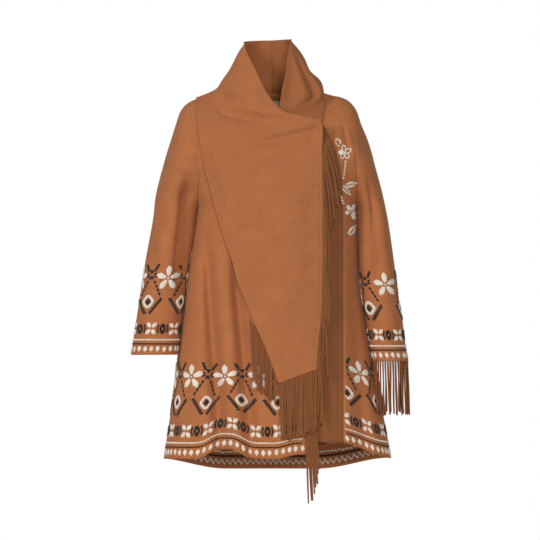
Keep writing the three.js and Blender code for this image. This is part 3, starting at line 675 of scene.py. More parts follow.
def upper_scarf():
    """The collar's right half and the scarf end that it runs into, as one sheet."""
    fold = soft_folds(OVER_FOLDS, over_grid[..., 0], over_grid[..., 2]) * smooth(SCARF_T / 0.05)[:, None]
    normal = grid_normals(over_grid[::-1])[::-1]
    line = stitched_line(over_grid, OVER_S, SCARF_T) * smooth(SCARF_T / 0.05)[:, None]
    hung = over_grid + normal * (fold + line)[..., None]
    collar, _ = collar_grid(COLLAR_RIGHT, hung[0], OVER_S, 0.5)
    vertices, faces = weld([collar, hung[::-1]])
    near_join = bell(vertices[:, 2] + 4, 26) * (vertices[:, 1] < 30)
    return relax(vertices, faces, 0.5 * near_join, 40), faces


def under_scarf():
    """The collar's left half and the scarf end under the other."""
    row = under_grid[0, ::-1]
    collar, columns = collar_grid(COLLAR_LEFT, row, 1 - UNDER_S[::-1], 2 / 3)
    fold = 0
    for place, width, top, height in COLLAR_FOLDS:
        rise = smooth(COLLAR_ROWS * 8) * smooth((top - COLLAR_ROWS) * 3)
        fold = fold + height * bell(columns[None] - place, width) * rise[:, None]
    collar = collar[:, ::-1]
    collar = collar + grid_normals(collar) * fold[:, ::-1, None]
    vertices, faces = weld([collar, under_grid[::-1]])
    near_join = bell(vertices[:, 2] + 26, 24) * (vertices[:, 1] < 0)
    return relax(vertices, faces, 0.5 * near_join, 40), faces


# ---- Yarn stitches ----
# A stitch is a low arch, swelling along its length: (share along it, share of its full size).
STATIONS = np.array([(0, 0.30), (0.12, 0.78), (0.35, 1), (0.65, 1), (0.88, 0.78), (1, 0.30)])
ARCH = np.linspace(0, math.pi, 6)


def stitch_mesh(name, stitches, place, material, inside=False):
    """Raised yarn stitches on a surface. A stitch is (u, h, u, h, width, height) in the surface's own
    millimetres, and place(u, h) gives points and outward normals there."""
    stitches = np.array(stitches, float)
    a, b = stitches[:, 0:2], stitches[:, 2:4]
    width, high = stitches[:, 4], stitches[:, 5]
    along = normalised(b - a)
    side = np.stack([-along[:, 1], along[:, 0]], -1)
    t, swell = STATIONS[:, 0], STATIONS[:, 1]
    centre = a[:, None] + (b - a)[:, None] * t[None, :, None]
    off = np.cos(ARCH)[None, None] * (width[:, None] / 2 * swell)[..., None]
    uh = centre[:, :, None] + side[:, None, None] * off[..., None]
    rise = np.sin(ARCH)[None, None] * (high[:, None] * swell)[..., None] - 0.25
    points, normals = place(uh[..., 0], uh[..., 1])
    if inside:
        points, normals = points - normals * FELT, -normals
    vertices = (points + normals * rise[..., None]).reshape(-1, 3)
    n, m = len(STATIONS), len(ARCH)
    one = grid_faces(n, m)
    ends = [list(reversed(range(m))), [(n - 1) * m + j for j in range(m)]]
    if inside:
        one, ends = one[:, ::-1], [end[::-1] for end in ends]
    start = np.arange(len(stitches))[:, None, None] * (n * m)
    faces = (one[None] + start).reshape(-1, 4).tolist()
    for k in range(len(stitches)):
        faces += [[k * n * m + j for j in end] for end in ends]
    made = make_object(name, vertices, faces, material)
    yarn = made.data.uv_layers.new(name="yarn")
    length = np.linalg.norm(b - a, axis=1)
    u = np.broadcast_to(t[None, :, None] * length[:, None, None], off.shape).reshape(-1)
    v = np.broadcast_to(ARCH[None, None] * (width[:, None, None] / 2), off.shape).reshape(-1)
    loops = np.empty(len(made.data.loops), int)
    made.data.loops.foreach_get("vertex_index", loops)
    yarn.data.foreach_set("uv", np.stack([u[loops], v[loops]], -1).astype(np.float32).ravel())
    return made


def turned(stitches, angle, at=(0, 0), scale=1.0):
    c, s = math.cos(angle) * scale, math.sin(angle) * scale
    return [(at[0] + c * x0 - s * y0, at[1] + s * x0 + c * y0,
             at[0] + c * x1 - s * y1, at[1] + s * x1 + c * y1, w * scale, h)
            for x0, y0, x1, y1, w, h in stitches]


def petal(root, tip, half, strands, width, height=1.6):
    """Satin strands fanning out along +Y from root to tip."""
    made = []
    for k in range(strands):
        f = 2 * k / (strands - 1) - 1
        end = tip - (tip - root) * 0.24 * f * f
        made.append((f * half * 0.3, root + abs(f) * 0.6, f * half, end, width, height))
    return made


def star_flower():
    made = [(-0.6, -2.8, 0.6, 2.8, 4.4, 1.7)]
    for k in range(5):
        made += turned(petal(5.5, 32, 6.2, 5, 4.2, 1.8), 2 * math.pi * k / 5 + 0.04)
    return made


def thick_bar(x0, y0, x1, y1, width, pitch=4.9):
    """A bar of short stitches laid side by side across it."""
    length = math.hypot(x1 - x0, y1 - y0)
    along = ((x1 - x0) / length, (y1 - y0) / length)
    slant = (-along[1] * 0.93 + along[0] * 0.36, along[0] * 0.93 + along[1] * 0.36)
    made, count = [], max(2, round(length / pitch))
    for k in range(count):
        t = (k + 0.5) / count
        x, y, half = mix(x0, x1, t), mix(y0, y1, t), width / 2 * rng.uniform(0.85, 1.08)
        dx, dy = slant[0] * half, slant[1] * half
        made.append((x - dx, y - dy, x + dx, y + dy, 5.0, 2.1))
    return made


def thin_bar(x0, y0, x1, y1, width, count):
    """A bar of stitches end to end."""
    made = []
    for k in range(count):
        f, g = (k + 0.04) / count, (k + 0.96) / count
        made.append((mix(x0, x1, f), mix(y0, y1, f), mix(x0, x1, g), mix(y0, y1, g), width, 1.7))
    return made


def lattice():
    """Black wedges and bars of one repeat, round the point above a diamond."""
    made = [(0, 12, 0, 3.6, 4.4, 1.6), (0, -11.2, 0, -2.6, 4.6, 1.6)]
    for s in (-1, 1):
        made += [(s * 3.8, 12, s * 0.9, 4.0, 4.8, 1.6), (s * 5.0, -12, s * 1.0, -2.8, 5.0, 1.6)]
        made += [(s * 14, 4.2, s * 6, -0.6, 5.0, 1.6), (s * 14, -7.2, s * 6, -2.2, 5.0, 1.6)]
        made += thick_bar(s * 7.6, 9.5, s * 17.5, 27, 8.6, 5.4)
        made += thin_bar(s * 7.5, -14, s * 26.5, -54, 5.6, 4)
    return made


def chevron():
    """The V of thick black bars under a diamond."""
    return [stitch for s in (-1, 1) for stitch in thick_bar(s * 34, 9, s * 5, -30, 10.2, 5.6)]


def rounded_diamond(half_x, half_y, width):
    """A ring of stitches round a diamond with rounded corners."""
    made, power, count = [], 1.2, 14
    for k in range(count):
        ends = []
        for j in (k, k + 1):
            angle = 2 * math.pi * j / count
            c, s = math.cos(angle), math.sin(angle)
            reach = (abs(c) ** power + abs(s) ** power) ** (-1 / power)
            ends += [half_x * c * reach, half_y * s * reach]
        made.append((*ends, width, 1.8))
    return made


def lozenge():
    """The black heart of a diamond."""
    made = [(0, -10, 0, 10, 3.8, 1.5)]
    for s in (-1, 1):
        made += [(s * 3, -6, s * 3, 6, 3.6, 1.5), (s * 5.6, -2.4, s * 5.6, 2.4, 3.2, 1.4)]
    return made


def cross_flower():
    made = []
    for angle in (0.66, 2.48, 3.80, 5.62):
        made += turned(petal(3.4, 19.5, 3.6, 3, 4.2, 1.8), angle)
    return made


def eye():
    made = [(0, 13.4, 0, 2.0, 6.0, 1.8), (0, -13.4, 0, -2.0, 6.0, 1.8)]
    for s in (-1, 1):
        made += [(0, 12.6, s * 5.0, 4.2, 5.4, 1.8), (s * 5.0, 6.2, s * 5.0, -6.2, 6.0, 1.8)]
        made += [(s * 5.0, -4.2, 0, -12.6, 5.4, 1.8), (s * 9.6, 11, s * 12.6, 2.8, 4.8, 1.6)]
        made += [(s * 12.8, 3.4, s * 12.8, -3.4, 4.8, 1.6), (s * 12.6, -2.8, s * 9.6, -11, 4.8, 1.6)]
    return made


def teardrop():
    return [(0, -8, 0, 7.8, 4.2, 1.8), (-2.8, -4.6, -2.6, 4.8, 3.8, 1.6), (2.8, -4.6, 2.6, 4.8, 3.8, 1.6)]


# Heights of the border's rows above the edge.
FLOWER_AT, LATTICE_AT, DIAMOND_AT, EYE_AT = 196, 203, 135, 67
CHAIN_AT, LINE_AT, TEARDROP_AT = 38.5, 28, 15.5
FLARE_FROM = 61  # u is true at this height


class Border:
    """The folk border of a hem or cuff, in two colours: u runs along it, heights are up from its edge."""

    def __init__(self, scale=1.0, flare=0.0):
        self.scale = scale
        self.flare = flare  # how much a millimetre of height narrows a millimetre of u
        self.ivory, self.black = [], []

    def put(self, thread, motif, u, height):
        size = self.scale * rng.uniform(0.96, 1.03)
        at = (0, height * self.scale + rng.normal(0, 0.6))
        u = u + rng.normal(0, 0.5)
        for x0, y0, x1, y1, width, high in turned(motif, rng.normal(0, 0.04), at, size):
            a, b = 1 + self.flare * (y0 - FLARE_FROM), 1 + self.flare * (y1 - FLARE_FROM)
            thread.append((u + x0 * a, y0, u + x1 * b, y1, width, high))

    def repeats(self, flowers, half_period):
        """Star flowers at the places given, with a lattice and diamond half a period on."""
        for u in flowers:
            self.put(self.ivory, star_flower(), u, FLOWER_AT)
            v = u + half_period
            rings = rounded_diamond(15, 18, 4.2) + rounded_diamond(11.4, 13.8, 4.0)
            self.put(self.black, lattice(), v, LATTICE_AT)
            self.put(self.ivory, rings, v, DIAMOND_AT)
            self.put(self.black, lozenge(), v, DIAMOND_AT)
            self.put(self.black, chevron(), v, DIAMOND_AT)

    def eyes_and_crosses(self, first_eye, step, count):
        for k in range(count):
            motif = (self.ivory, cross_flower()) if k % 2 else (self.black, eye())
            self.put(*motif, first_eye + k * step, EYE_AT)

    def lines(self, start, length):
        """The rows nearest the edge: a chain over a dark line, and teardrops."""
        links = int(length / (5.8 * self.scale))
        for k in range(links):
            u = start + (k + 0.5) * length / links
            tilt, height = rng.normal(0, 0.5), CHAIN_AT * self.scale
            self.ivory.append((u - 2.4, height - tilt, u + 2.4, height + tilt, 4.6, 2.2))
        dashes = int(length / 8.5)
        for k in range(dashes):
            u, half = start + (k + 0.5) * length / dashes, length / dashes * 0.52
            self.black.append((u - half, LINE_AT * self.scale, u + half, LINE_AT * self.scale, 4.4, 1.6))
        drops = int(length / (15.2 * self.scale))
        for k in range(drops):
            self.put(self.ivory, teardrop(), start + (k + 0.5) * length / drops, TEARDROP_AT)


def placer(point):
    """Gives points and outward normals of a surface point(u, h)."""

    def place(u, h):
        here = point(u, h)
        along = point(u + 0.5, h) - point(u - 0.5, h)
        up = point(u, h + 0.5) - point(u, h - 0.5)
        return here, normalised(np.cross(along, up))

    return place


def run_length(points, forward):
    """Distance along a ring: by X where the cloth faces front or back, and by its own length where it turns."""
    step = np.diff(points, axis=0)
    own = np.linalg.norm(step, axis=1)
    return np.concatenate([[0], np.cumsum(mix(own, np.abs(step[:, 0]), forward))])


# Round the hem: -1 is the right side seam, 0 the middle front, 1 the left side seam, 2 the middle back.
RING = np.linspace(-1, 3, 1601)


def skirt_ring_point(ring, down):
    front = skirt_point(FRONT, np.clip(ring, -1, 1), down)
    back = skirt_point(BACK, np.clip(2 - ring, -1, 1), down)
    point = np.where((ring <= 1)[..., None], np.stack(np.broadcast_arrays(*front), -1),
                     np.stack(np.broadcast_arrays(*back), -1))
    on_left_front = (ring > 0.3) & (ring <= 1)
    point[..., 1] += np.where(on_left_front, set_back(point[..., 0], point[..., 2]), 0)
    return point


ring_points = skirt_ring_point(RING, 0.1)
RING_U = run_length(ring_points, smooth((0.93 - np.abs((RING + 1) % 2 - 1)[:-1]) / 0.2))
HEM_ROUND = RING_U[-1]


def hem_u(x):
    """Distance round the hem of a front point, by its X at the hem."""
    return np.interp(x / HALF_WIDTH[RIGHT if x < 0 else LEFT](HEM_Z), RING, RING_U)


def hem_point(u, h):
    ring = np.interp(np.mod(u, HEM_ROUND), RING_U, RING)
    return skirt_ring_point(ring, h / SKIRT_HEIGHT)


def hem_border():
    """The border all round the hem, spaced from the repeats at each end of the front."""
    border = Border(1.0, 0.0007)
    first, last = hem_u(245.0), hem_u(-216.6) + HEM_ROUND
    count = round((last - first) / 86)
    period = (last - first) / count
    border.repeats([first + k * period for k in range(-1, count + 4)], period / 2)
    first, last = hem_u(214.0), hem_u(-130.8) + HEM_ROUND
    count = 2 * round((last - first) / 56)
    step = (last - first) / count
    border.eyes_and_crosses(first - 2 * step, step, count + 12)
    start, end = hem_u(176.0), hem_u(84.0) + HEM_ROUND
    border.lines(start + 2, end - start - 3)
    left_seam = np.interp(1.0, RING, RING_U)

    def shows(x0, y0, x1, y1, *_):
        """Whether a stitch is clear of the plain band and of the right front's edge."""
        if min(x0, x1) < start + 2 or max(x0, x1) > end - 2:
            return False
        return x0 > left_seam or hem_point(np.array([x0, x1]), np.array([y0, y1]))[:, 0].min() > BAND_TO_X + 3

    return [[stitch for stitch in thread if shows(*stitch)] for thread in (border.ivory, border.black)]


def inside_of_hem():
    """The reverse of the border, seen inside the back: slanted threads between stitches."""
    ivory, black = [], []
    left, right = np.interp(1.1, RING, RING_U), HEM_ROUND - 20
    for k in range(int((right - left) / 13.6)):
        u = left + k * 13.6
        ivory.append((u, 9, u + 9, 23 + rng.normal(0, 0.7), 3.4, 1.4))
        ivory.append((u + 9, 22, u + 13.6, 10, 2.2, 1.0))
    for k in range(int((right - left) / 9)):
        u = left + k * 9
        black.append((u, 29, u + 9.6, 29, 6.0, 1.6))
        ivory.append((u, 38.5 + rng.normal(0, 1), u + 8, 40 + rng.normal(0, 1), 4.2, 1.6))
    for k in range(int((right - left) / 27.2)):
        u = left + k * 27.2
        thread, wide = (black, 4.6) if k % 2 else (ivory, 3.8)
        for x0, y0, x1, y1 in ((-8, -9, 7, 8), (-7, 8, 8, -8), (-9, 2, 9, -1), (-1, -10, 0, 10)):
            thread.append((u + x0, 64 + y0, u + x1, 64 + y1, wide, 1.6))
    return ivory, black


def cuff_ring(side):
    """A sleeve's border surface: u is measured from the middle of its front, out from the body."""
    angles = np.linspace(math.pi / 2 - math.pi, math.pi / 2 + math.pi, 801)
    ring = tube_point(side, angles, CUFF_Z[side] + 100.0)
    along = run_length(ring, smooth((0.92 - np.abs(np.cos(angles[:-1]))) / 0.25))
    along = along - np.interp(math.pi / 2, angles, along)
    total = along[-1] - along[0]

    def point(u, h):
        # u grows to the right as seen from the front, so that stitches face out.
        wrapped = np.mod(side * u - along[0], total) + along[0]
        angle = np.interp(wrapped, along, angles)
        p = tube_point(side, angle, CUFF_Z[side] + h)
        forward = smooth(np.sin(angle) * 2)
        fold = soft_folds(SLEEVE_FOLDS[side], p[..., 0], p[..., 2]) * forward
        p[..., 1] = p[..., 1] - fold
        return p

    return point, total


def cuff_border(side):
    point, total = cuff_ring(side)
    border = Border(0.94)
    count, first_flower, first_eye = (4, 8.0, 11.5) if side == RIGHT else (3, 17.0, 5.6)
    period = total / count
    border.repeats([first_flower + k * period for k in range(count)], period / 2)
    eyes = round(total / 53)
    border.eyes_and_crosses(first_eye, total / (2 * eyes), 2 * eyes)
    border.lines(0, total)
    return border.ivory, border.black, placer(point)


# ---- Flowers on the wearer's left chest ----
def chest_point(u, h):
    return np.stack([u, front_y(u, h) + set_back(u, h), h], -1)


def looped_petal(root, tip, half):
    """One outlined petal: a loop of chain stitches."""
    made = []
    turns = np.linspace(0, 2 * math.pi, 8)
    ends = [(half * math.sin(a), mix(root, tip, (1 - math.cos(a)) / 2)) for a in turns]
    for (x0, y0), (x1, y1) in zip(ends, ends[1:]):
        made.append((x0, y0, x1, y1, 3.2, 1.7))
    return made


def dashed(points, count, length, width, slant=0.0):
    """Short dashes spaced along a smooth line, for a stem."""
    line = route(points)
    made = []
    for k in range(count):
        t = (k + 0.5) / count
        (x, z), (x1, z1) = line(np.array(t)), line(np.array(t + 0.01))
        angle = math.atan2(z1 - z, x1 - x) + slant
        dx, dz = math.cos(angle) * length / 2, math.sin(angle) * length / 2
        made.append((x - dx, z - dz, x + dx, z + dz, width, 1.6))
    return made


def leaf(x0, z0, x1, z1, pairs=4, reach=7.5):
    """A herringbone leaf from its foot to its tip."""
    length, angle = math.hypot(x1 - x0, z1 - z0), math.atan2(z1 - z0, x1 - x0) - math.pi / 2
    made = [(0, length * 0.72, 0, length, 3.8, 1.7)]
    for k in range(pairs):
        y = length * (0.06 + 0.66 * k / pairs)
        spread = reach * math.sin(math.pi * (k + 1) / (pairs + 1)) ** 0.5
        for s in (-1, 1):
            made.append((s * 1.2, y, s * spread, y + 5, 3.4, 1.7))
    return turned(made, angle, (x0, z0))


def chest_flowers():
    made = dashed([(161, -119), (153, -110), (155, -101), (163, -104), (165, -112)], 8, 4.2, 3.4)
    flower = (174, -134)
    for degrees, reach in ((5, 19), (-62, 19), (-140, 16), (150, 16)):
        made += turned(looped_petal(2, reach, 4.6), math.radians(degrees), flower)
    made += turned(petal(2, 17, 5, 4, 3.8), math.radians(82), flower)
    made += [(173, -135, 175, -133, 3.6, 1.7)]
    made += dashed([(177, -152), (176, -166), (174, -180), (171, -197)], 8, 5.4, 3.6, 1.3)
    made += leaf(176, -213, 206, -206, 5)
    made += leaf(168, -212, 190, -236, 4, 6.5)
    made += dashed([(162, -224), (166, -240), (173, -258)], 6, 6, 3.8, 0.9)
    low = (190, -276)
    for degrees, reach in ((28, 20), (-30, 23), (100, 15), (-105, 14), (-150, 22)):
        made += turned(petal(3.4, reach, 4.2, 4, 3.8), math.radians(degrees), low)
    made += [(189, -277, 191, -275, 3.8, 1.7)]
    made += leaf(184, -332, 204, -306, 5, 7.5)
    return made


# ---- Seam stitching inside the collar ----
NECK_SEAM_Z = 10.5
COLLAR_BEND = 0.0021  # how fast the collar curves away from the middle


def inner_neck_point(u, h):
    """The inner face at the centre back: the collar above the neck seam, and the back below it."""
    profile = cage(COLLAR_RIGHT, np.linspace(0, 1, 40), np.array([0.0]))[:, 0]
    collar_y = np.interp(h, profile[:, 2], profile[:, 1]) - COLLAR_BEND * u * u
    return np.stack([u, np.where(h > NECK_SEAM_Z, collar_y, back_y(u, h)) - FELT, h], -1)


def neck_stitches():
    made = []
    for x in (-4.0, 7.0):
        made += [(x, z, x, z + 3.6, 1.6, 0.9) for z in np.arange(15, 133, 4.8)]
    for z in (13.5, -0.7):
        made += [(x, z, x + 3.6, z, 1.6, 0.9) for x in np.arange(-36, 32, 4.8)]
    return made


# ---- Fringe: strips cut from the felt ----
STRIP_WIDE = 4.4
STRIP_THICK = 1.9
STRIP_STEPS = 18
STRIP_RING = np.array([(-1, -0.5), (-0.8, -1), (0.8, -1), (1, -0.5),
                       (1, 0.5), (0.8, 1), (-0.8, 1), (-1, 0.5)])
CUFF_STRIPS = 42
CUFF_STRIP_LENGTH = 131.0
CUFF_MIDDLE = (287.0, -28.0)


def strip_mesh(name, strips, material, nodes):
    """Every strip of one fringe. Each is (points down it, direction across it at top and tip, width)."""
    vertices, faces, n = [], [], len(STRIP_RING)
    for line, across, wide in strips:
        along = normalised(np.gradient(line, axis=0))
        across = normalised(across - along * (across * along).sum(1, keepdims=True))
        out = np.cross(along, across)
        first = len(vertices)
        taper = np.ones(len(line))
        taper[-1] = 0.86
        for k in range(len(line)):
            off_wide = across[k] * STRIP_RING[:, :1] * wide / 2 * taper[k]
            off_thick = out[k] * STRIP_RING[:, 1:] * STRIP_THICK / 2 * taper[k]
            vertices.extend(line[k] + (off_wide + off_thick))
        for k in range(len(line) - 1):
            a, b = first + k * n, first + (k + 1) * n
            faces += [[a + j, a + (j + 1) % n, b + (j + 1) % n, b + j] for j in range(n)]
        faces.append([first + j for j in reversed(range(n))])
        faces.append([first + (len(line) - 1) * n + j for j in range(n)])
    made = make_object(name, vertices, faces, material)
    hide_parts(*nodes)
    return made


def hanging_strip(top, tip, lift, bulge, sway, twist, wide=STRIP_WIDE):
    """A strip in front of the coat: top and tip are (x, z), and lift its distance from the front at each."""
    t = np.linspace(0, 1, STRIP_STEPS)
    phase, wave = rng.uniform(0, 6.28), rng.normal(0, sway)
    x = mix(top[0], tip[0], t ** 0.8) + bulge * np.sin(math.pi * t) + wave * np.sin(2.2 * t + phase) * t
    z = mix(top[1], tip[1], t)
    depth = mix(lift[0], lift[1], smooth(t * 3)) + rng.normal(0, 0.5) * np.sin(5 * t + phase) * t
    line = on_front(x, z, depth)
    turn = rng.normal(0, twist) * t + 0.25 * np.sin(4 * t + phase) * t
    across = np.stack([np.cos(turn), np.sin(turn), np.zeros_like(turn)], -1)
    return line, across, wide * rng.uniform(0.9, 1.1)


def side_fringe():
    """Strips down the upper scarf's straight edge: a fan below the held corner, then lanes."""
    strips = []
    for k in range(16):
        f = k / 15
        top = OVER_RIGHT_EDGE(np.array(mix(0.275, 0.40, f)))
        top_x, top_z = top[0] + 0.5, mix(-72, -150, f)
        tip = (mix(165, 136, f ** 0.8) + rng.normal(0, 1.5), mix(-222, -318, f ** 0.9) + rng.normal(0, 5))
        strips.append(hanging_strip((top_x, top_z), tip, (9.4, 9 + 2.2 * (k % 4)), mix(8, 2, f), 2.2, 0.7))
    count = 62
    for k in range(count):
        f = (k + 1) / count
        z = mix(-152, -650, f)
        edge = OVER_RIGHT_EDGE(np.interp(-z, [140, 655], [4 / 11, 1.0]))
        lane, layer = k % 3, (k // 3) % 5
        length = rng.uniform(142, 168)
        tip_x = edge[0] + 3 + 5.0 * lane + rng.normal(0, 1.2) - (1.5 if f > 0.8 else 0)
        lift = (9.2, 3.5 + 2.3 * layer + 0.5 * lane)
        bulge = 2.5 + 1.2 * lane
        strips.append(hanging_strip((edge[0] + 0.3, z), (tip_x, z - length), lift, bulge, 0.8, 0.6))
    return strips


def row_fringe(edge, count, tips, lift, start=0.0, end=1.0, sway=1.4, wide=STRIP_WIDE):
    """Strips side by side along an edge; tips gives the (x, z) of their ends."""
    strips = []
    for k in range(count):
        f = (k + 0.5) / count
        top = edge(np.array(mix(start, end, f)))
        tip = tips(np.array(f)) + np.array([rng.normal(0, 1.0), rng.normal(0, 3.0)])
        level = lift + 1.3 * (k % 2)
        strips.append(hanging_strip((top[0], top[1] + 2.5), tip, (level - 1.6, level), 0, sway, 0.45, wide))
    return strips


def cuff_fringe():
    """Strips all round the wearer's left cuff, against the coat's flank on the inside."""
    strips = []
    for k in range(CUFF_STRIPS):
        angle = 2 * math.pi * (k + 0.5) / CUFF_STRIPS
        t = np.linspace(0, 1, STRIP_STEPS)
        x, y, z = tube_point(LEFT, np.array(angle), CUFF_Z[LEFT] + 3.0)
        length = CUFF_STRIP_LENGTH * rng.uniform(0.95, 1.03)
        out = np.array([x - CUFF_MIDDLE[0], (y - CUFF_MIDDLE[1]) * 0.7])
        out = out / max(np.hypot(*out), 1e-6)
        phase = rng.uniform(0, 6.28)
        line = np.stack([x + rng.normal(2.5, 2.2) * t + 0.9 * np.sin(5 * t + phase) * t - out[0] * 1.2,
                         y + rng.normal(0, 2.5) * t + 0.9 * np.cos(4 * t + phase) * t - out[1] * 1.2,
                         z - length * t], -1)
        share = np.abs(line[:, 1] - MIDDLE_Y) / FRONT_DEPTH(line[:, 2])
        clear = HALF_WIDTH[LEFT](line[:, 2]) * roundness(share) + 5
        line[:, 0] = np.maximum(line[:, 0], mix(line[0, 0], clear, smooth(t * 4)))
        across = np.stack([np.full_like(t, -out[1]), np.full_like(t, out[0]), np.zeros_like(t)], -1)
        turn = rng.normal(0, 0.6) * t
        across[:, 0], across[:, 1] = (across[:, 0] * np.cos(turn) - across[:, 1] * np.sin(turn),
                                      across[:, 0] * np.sin(turn) + across[:, 1] * np.cos(turn))
        strips.append((line, across, 3.9 * rng.uniform(0.9, 1.08)))
    return strips


# ---- Materials ----
def new_material(name, roughness, sheen, tint):
    material = bpy.data.materials.new(name)
    material.use_nodes = True
    nodes, links = material.node_tree.nodes, material.node_tree.links
    shader = nodes["Principled BSDF"]
    shader.inputs["Roughness"].default_value = roughness
    shader.inputs["Specular IOR Level"].default_value = 0.18
    shader.inputs["Sheen Weight"].default_value = sheen
    shader.inputs["Sheen Roughness"].default_value = 0.45
    shader.inputs["Sheen Tint"].default_value = (*tint, 1)
    return material, nodes, links, shader


def noise(nodes, links, coordinates, scale, detail, stretch=(1, 1, 1), roughness=0.6):
    mapping = nodes.new("ShaderNodeMapping")
    mapping.inputs["Scale"].default_value = stretch
    links.new(coordinates, mapping.inputs["Vector"])
    texture = nodes.new("ShaderNodeTexNoise")
    texture.inputs["Scale"].default_value = scale
    texture.inputs["Detail"].default_value = detail
    texture.inputs["Roughness"].default_value = roughness
    links.new(mapping.outputs["Vector"], texture.inputs["Vector"])
    return texture.outputs["Fac"]


def blend_colour(nodes, links, factor, low, high, start=0.3, end=0.7):
    ramp = nodes.new("ShaderNodeValToRGB")
    ramp.color_ramp.elements[0].position, ramp.color_ramp.elements[1].position = start, end
    ramp.color_ramp.elements[0].color = (*low, 1)
    ramp.color_ramp.elements[1].color = (*high, 1)
    links.new(factor, ramp.inputs["Fac"])
    return ramp.outputs["Color"]


def multiply(nodes, links, a, b):
    node = nodes.new("ShaderNodeMix")
    node.data_type, node.blend_type = "RGBA", "MULTIPLY"
    node.inputs["Factor"].default_value = 1.0
    links.new(a, node.inputs["A"])
    links.new(b, node.inputs["B"])
    return node.outputs["Result"]


def bumps(nodes, links, shader, heights):
    """Chains bumps, each (height output, distance in metres, strength)."""
    last = None
    for height, distance, strength in heights:
        bump = nodes.new("ShaderNodeBump")
        bump.inputs["Distance"].default_value = distance
        bump.inputs["Strength"].default_value = strength
        links.new(height, bump.inputs["Height"])
        if last:
            links.new(last, bump.inputs["Normal"])
        last = bump.outputs["Normal"]
    links.new(last, shader.inputs["Normal"])


def felt(name, colour, shade=1.0):
    """Milled wool felt: matted fibres, faint cloudy dye and a short nap."""
    material, nodes, links, shader = new_material(name, 0.95, 0.16, (0.95, 0.66, 0.46))
    here = nodes.new("ShaderNodeTexCoord").outputs["Object"]
    # shade darkens the whole felt; below 1 it is painted shade on a copy of the coat's felt.
    colour = tuple(c * shade for c in colour)
    clouds = noise(nodes, links, here, 26, 4)
    fibres = noise(nodes, links, here, 620, 3, (1, 1, 0.35), 0.7)
    specks = noise(nodes, links, here, 1500, 2)
    base = blend_colour(nodes, links, clouds, [c * 0.93 for c in colour], [min(1, c * 1.06) for c in colour])
    nap = blend_colour(nodes, links, fibres, (0.86, 0.84, 0.82), (1.0, 1.0, 1.0), 0.25, 0.6)
    fleck = blend_colour(nodes, links, specks, (0.90, 0.89, 0.88), (1.0, 1.0, 1.0), 0.3, 0.5)
    links.new(multiply(nodes, links, multiply(nodes, links, base, nap), fleck), shader.inputs["Base Color"])
    bumps(nodes, links, shader, [(clouds, 0.004, 0.12), (fibres, 0.0009, 0.35), (specks, 0.0005, 0.3)])
    return material


def yarn(name, colour, dark):
    """Plied wool yarn: slanting plies along each stitch, with loose fibres."""
    material, nodes, links, shader = new_material(name, 0.82, 0.2, (1.0, 0.97, 0.92))
    coordinates = nodes.new("ShaderNodeTexCoord")
    turn = nodes.new("ShaderNodeMapping")
    turn.inputs["Rotation"].default_value = (0, 0, math.radians(38))
    links.new(coordinates.outputs["UV"], turn.inputs["Vector"])
    plies = nodes.new("ShaderNodeTexWave")
    plies.inputs["Scale"].default_value = 0.42
    plies.inputs["Distortion"].default_value = 1.2
    plies.inputs["Detail"].default_value = 2
    links.new(turn.outputs["Vector"], plies.inputs["Vector"])
    fuzz = noise(nodes, links, coordinates.outputs["Object"], 900, 3)
    uneven = noise(nodes, links, coordinates.outputs["Object"], 90, 2)
    # The darker colour between the plies is painted shade in the grooves of the twist.
    base = blend_colour(nodes, links, plies.outputs["Fac"], dark, colour, 0.05, 0.5)
    worn = blend_colour(nodes, links, uneven, (0.9, 0.88, 0.85), (1.0, 1.0, 1.0))
    links.new(multiply(nodes, links, base, worn), shader.inputs["Base Color"])
    bumps(nodes, links, shader, [(plies.outputs["Fac"], 0.0007, 0.6), (fuzz, 0.0004, 0.4)])
    return material


def tape(name, colour):
    """Plain woven tape, for the blank label."""
    material, nodes, links, shader = new_material(name, 0.7, 0.05, (1.0, 1.0, 1.0))
    here = nodes.new("ShaderNodeTexCoord").outputs["Object"]
    weave = noise(nodes, links, here, 500, 1, (1, 1, 4))
    base = blend_colour(nodes, links, weave, [c * 0.8 for c in colour], colour)
    links.new(base, shader.inputs["Base Color"])
    bumps(nodes, links, shader, [(weave, 0.0004, 0.5)])
    return material


CARAMEL = (0.43, 0.151, 0.055)
coat_felt = felt("coat_felt", CARAMEL)
# The scarf's felt is the coat's felt made 5% darker: painted shade on the scarf.
scarf_felt = felt("scarf_felt", CARAMEL, 0.95)
# The band's felt is the coat's felt made much darker: painted shadow cast on the band by the scarf and its
# fringe.
band_felt_painted_shade = felt("band_felt_painted_shade", CARAMEL, 0.58)
# The under scarf's felt is the coat's felt made darker: painted shade on the collar's left half, the only part
# of it in view.
under_felt_painted_shade = felt("under_felt_painted_shade", CARAMEL, 0.8)
# The fringe's felt is the coat's felt made much darker: painted shade among the hanging strips.
fringe_felt = felt("fringe_felt", CARAMEL, 0.55)
# Each yarn's second colour is painted shade in the grooves between its plies.
ivory_yarn = yarn("ivory_yarn", (1.0, 0.94, 0.84), (0.86, 0.76, 0.62))
black_yarn = yarn("black_yarn", (0.030, 0.022, 0.018), (0.010, 0.008, 0.007))
seam_thread = yarn("seam_thread", (0.17, 0.060, 0.026), (0.10, 0.035, 0.015))
label_tape = tape("label_tape", (0.82, 0.74, 0.64))

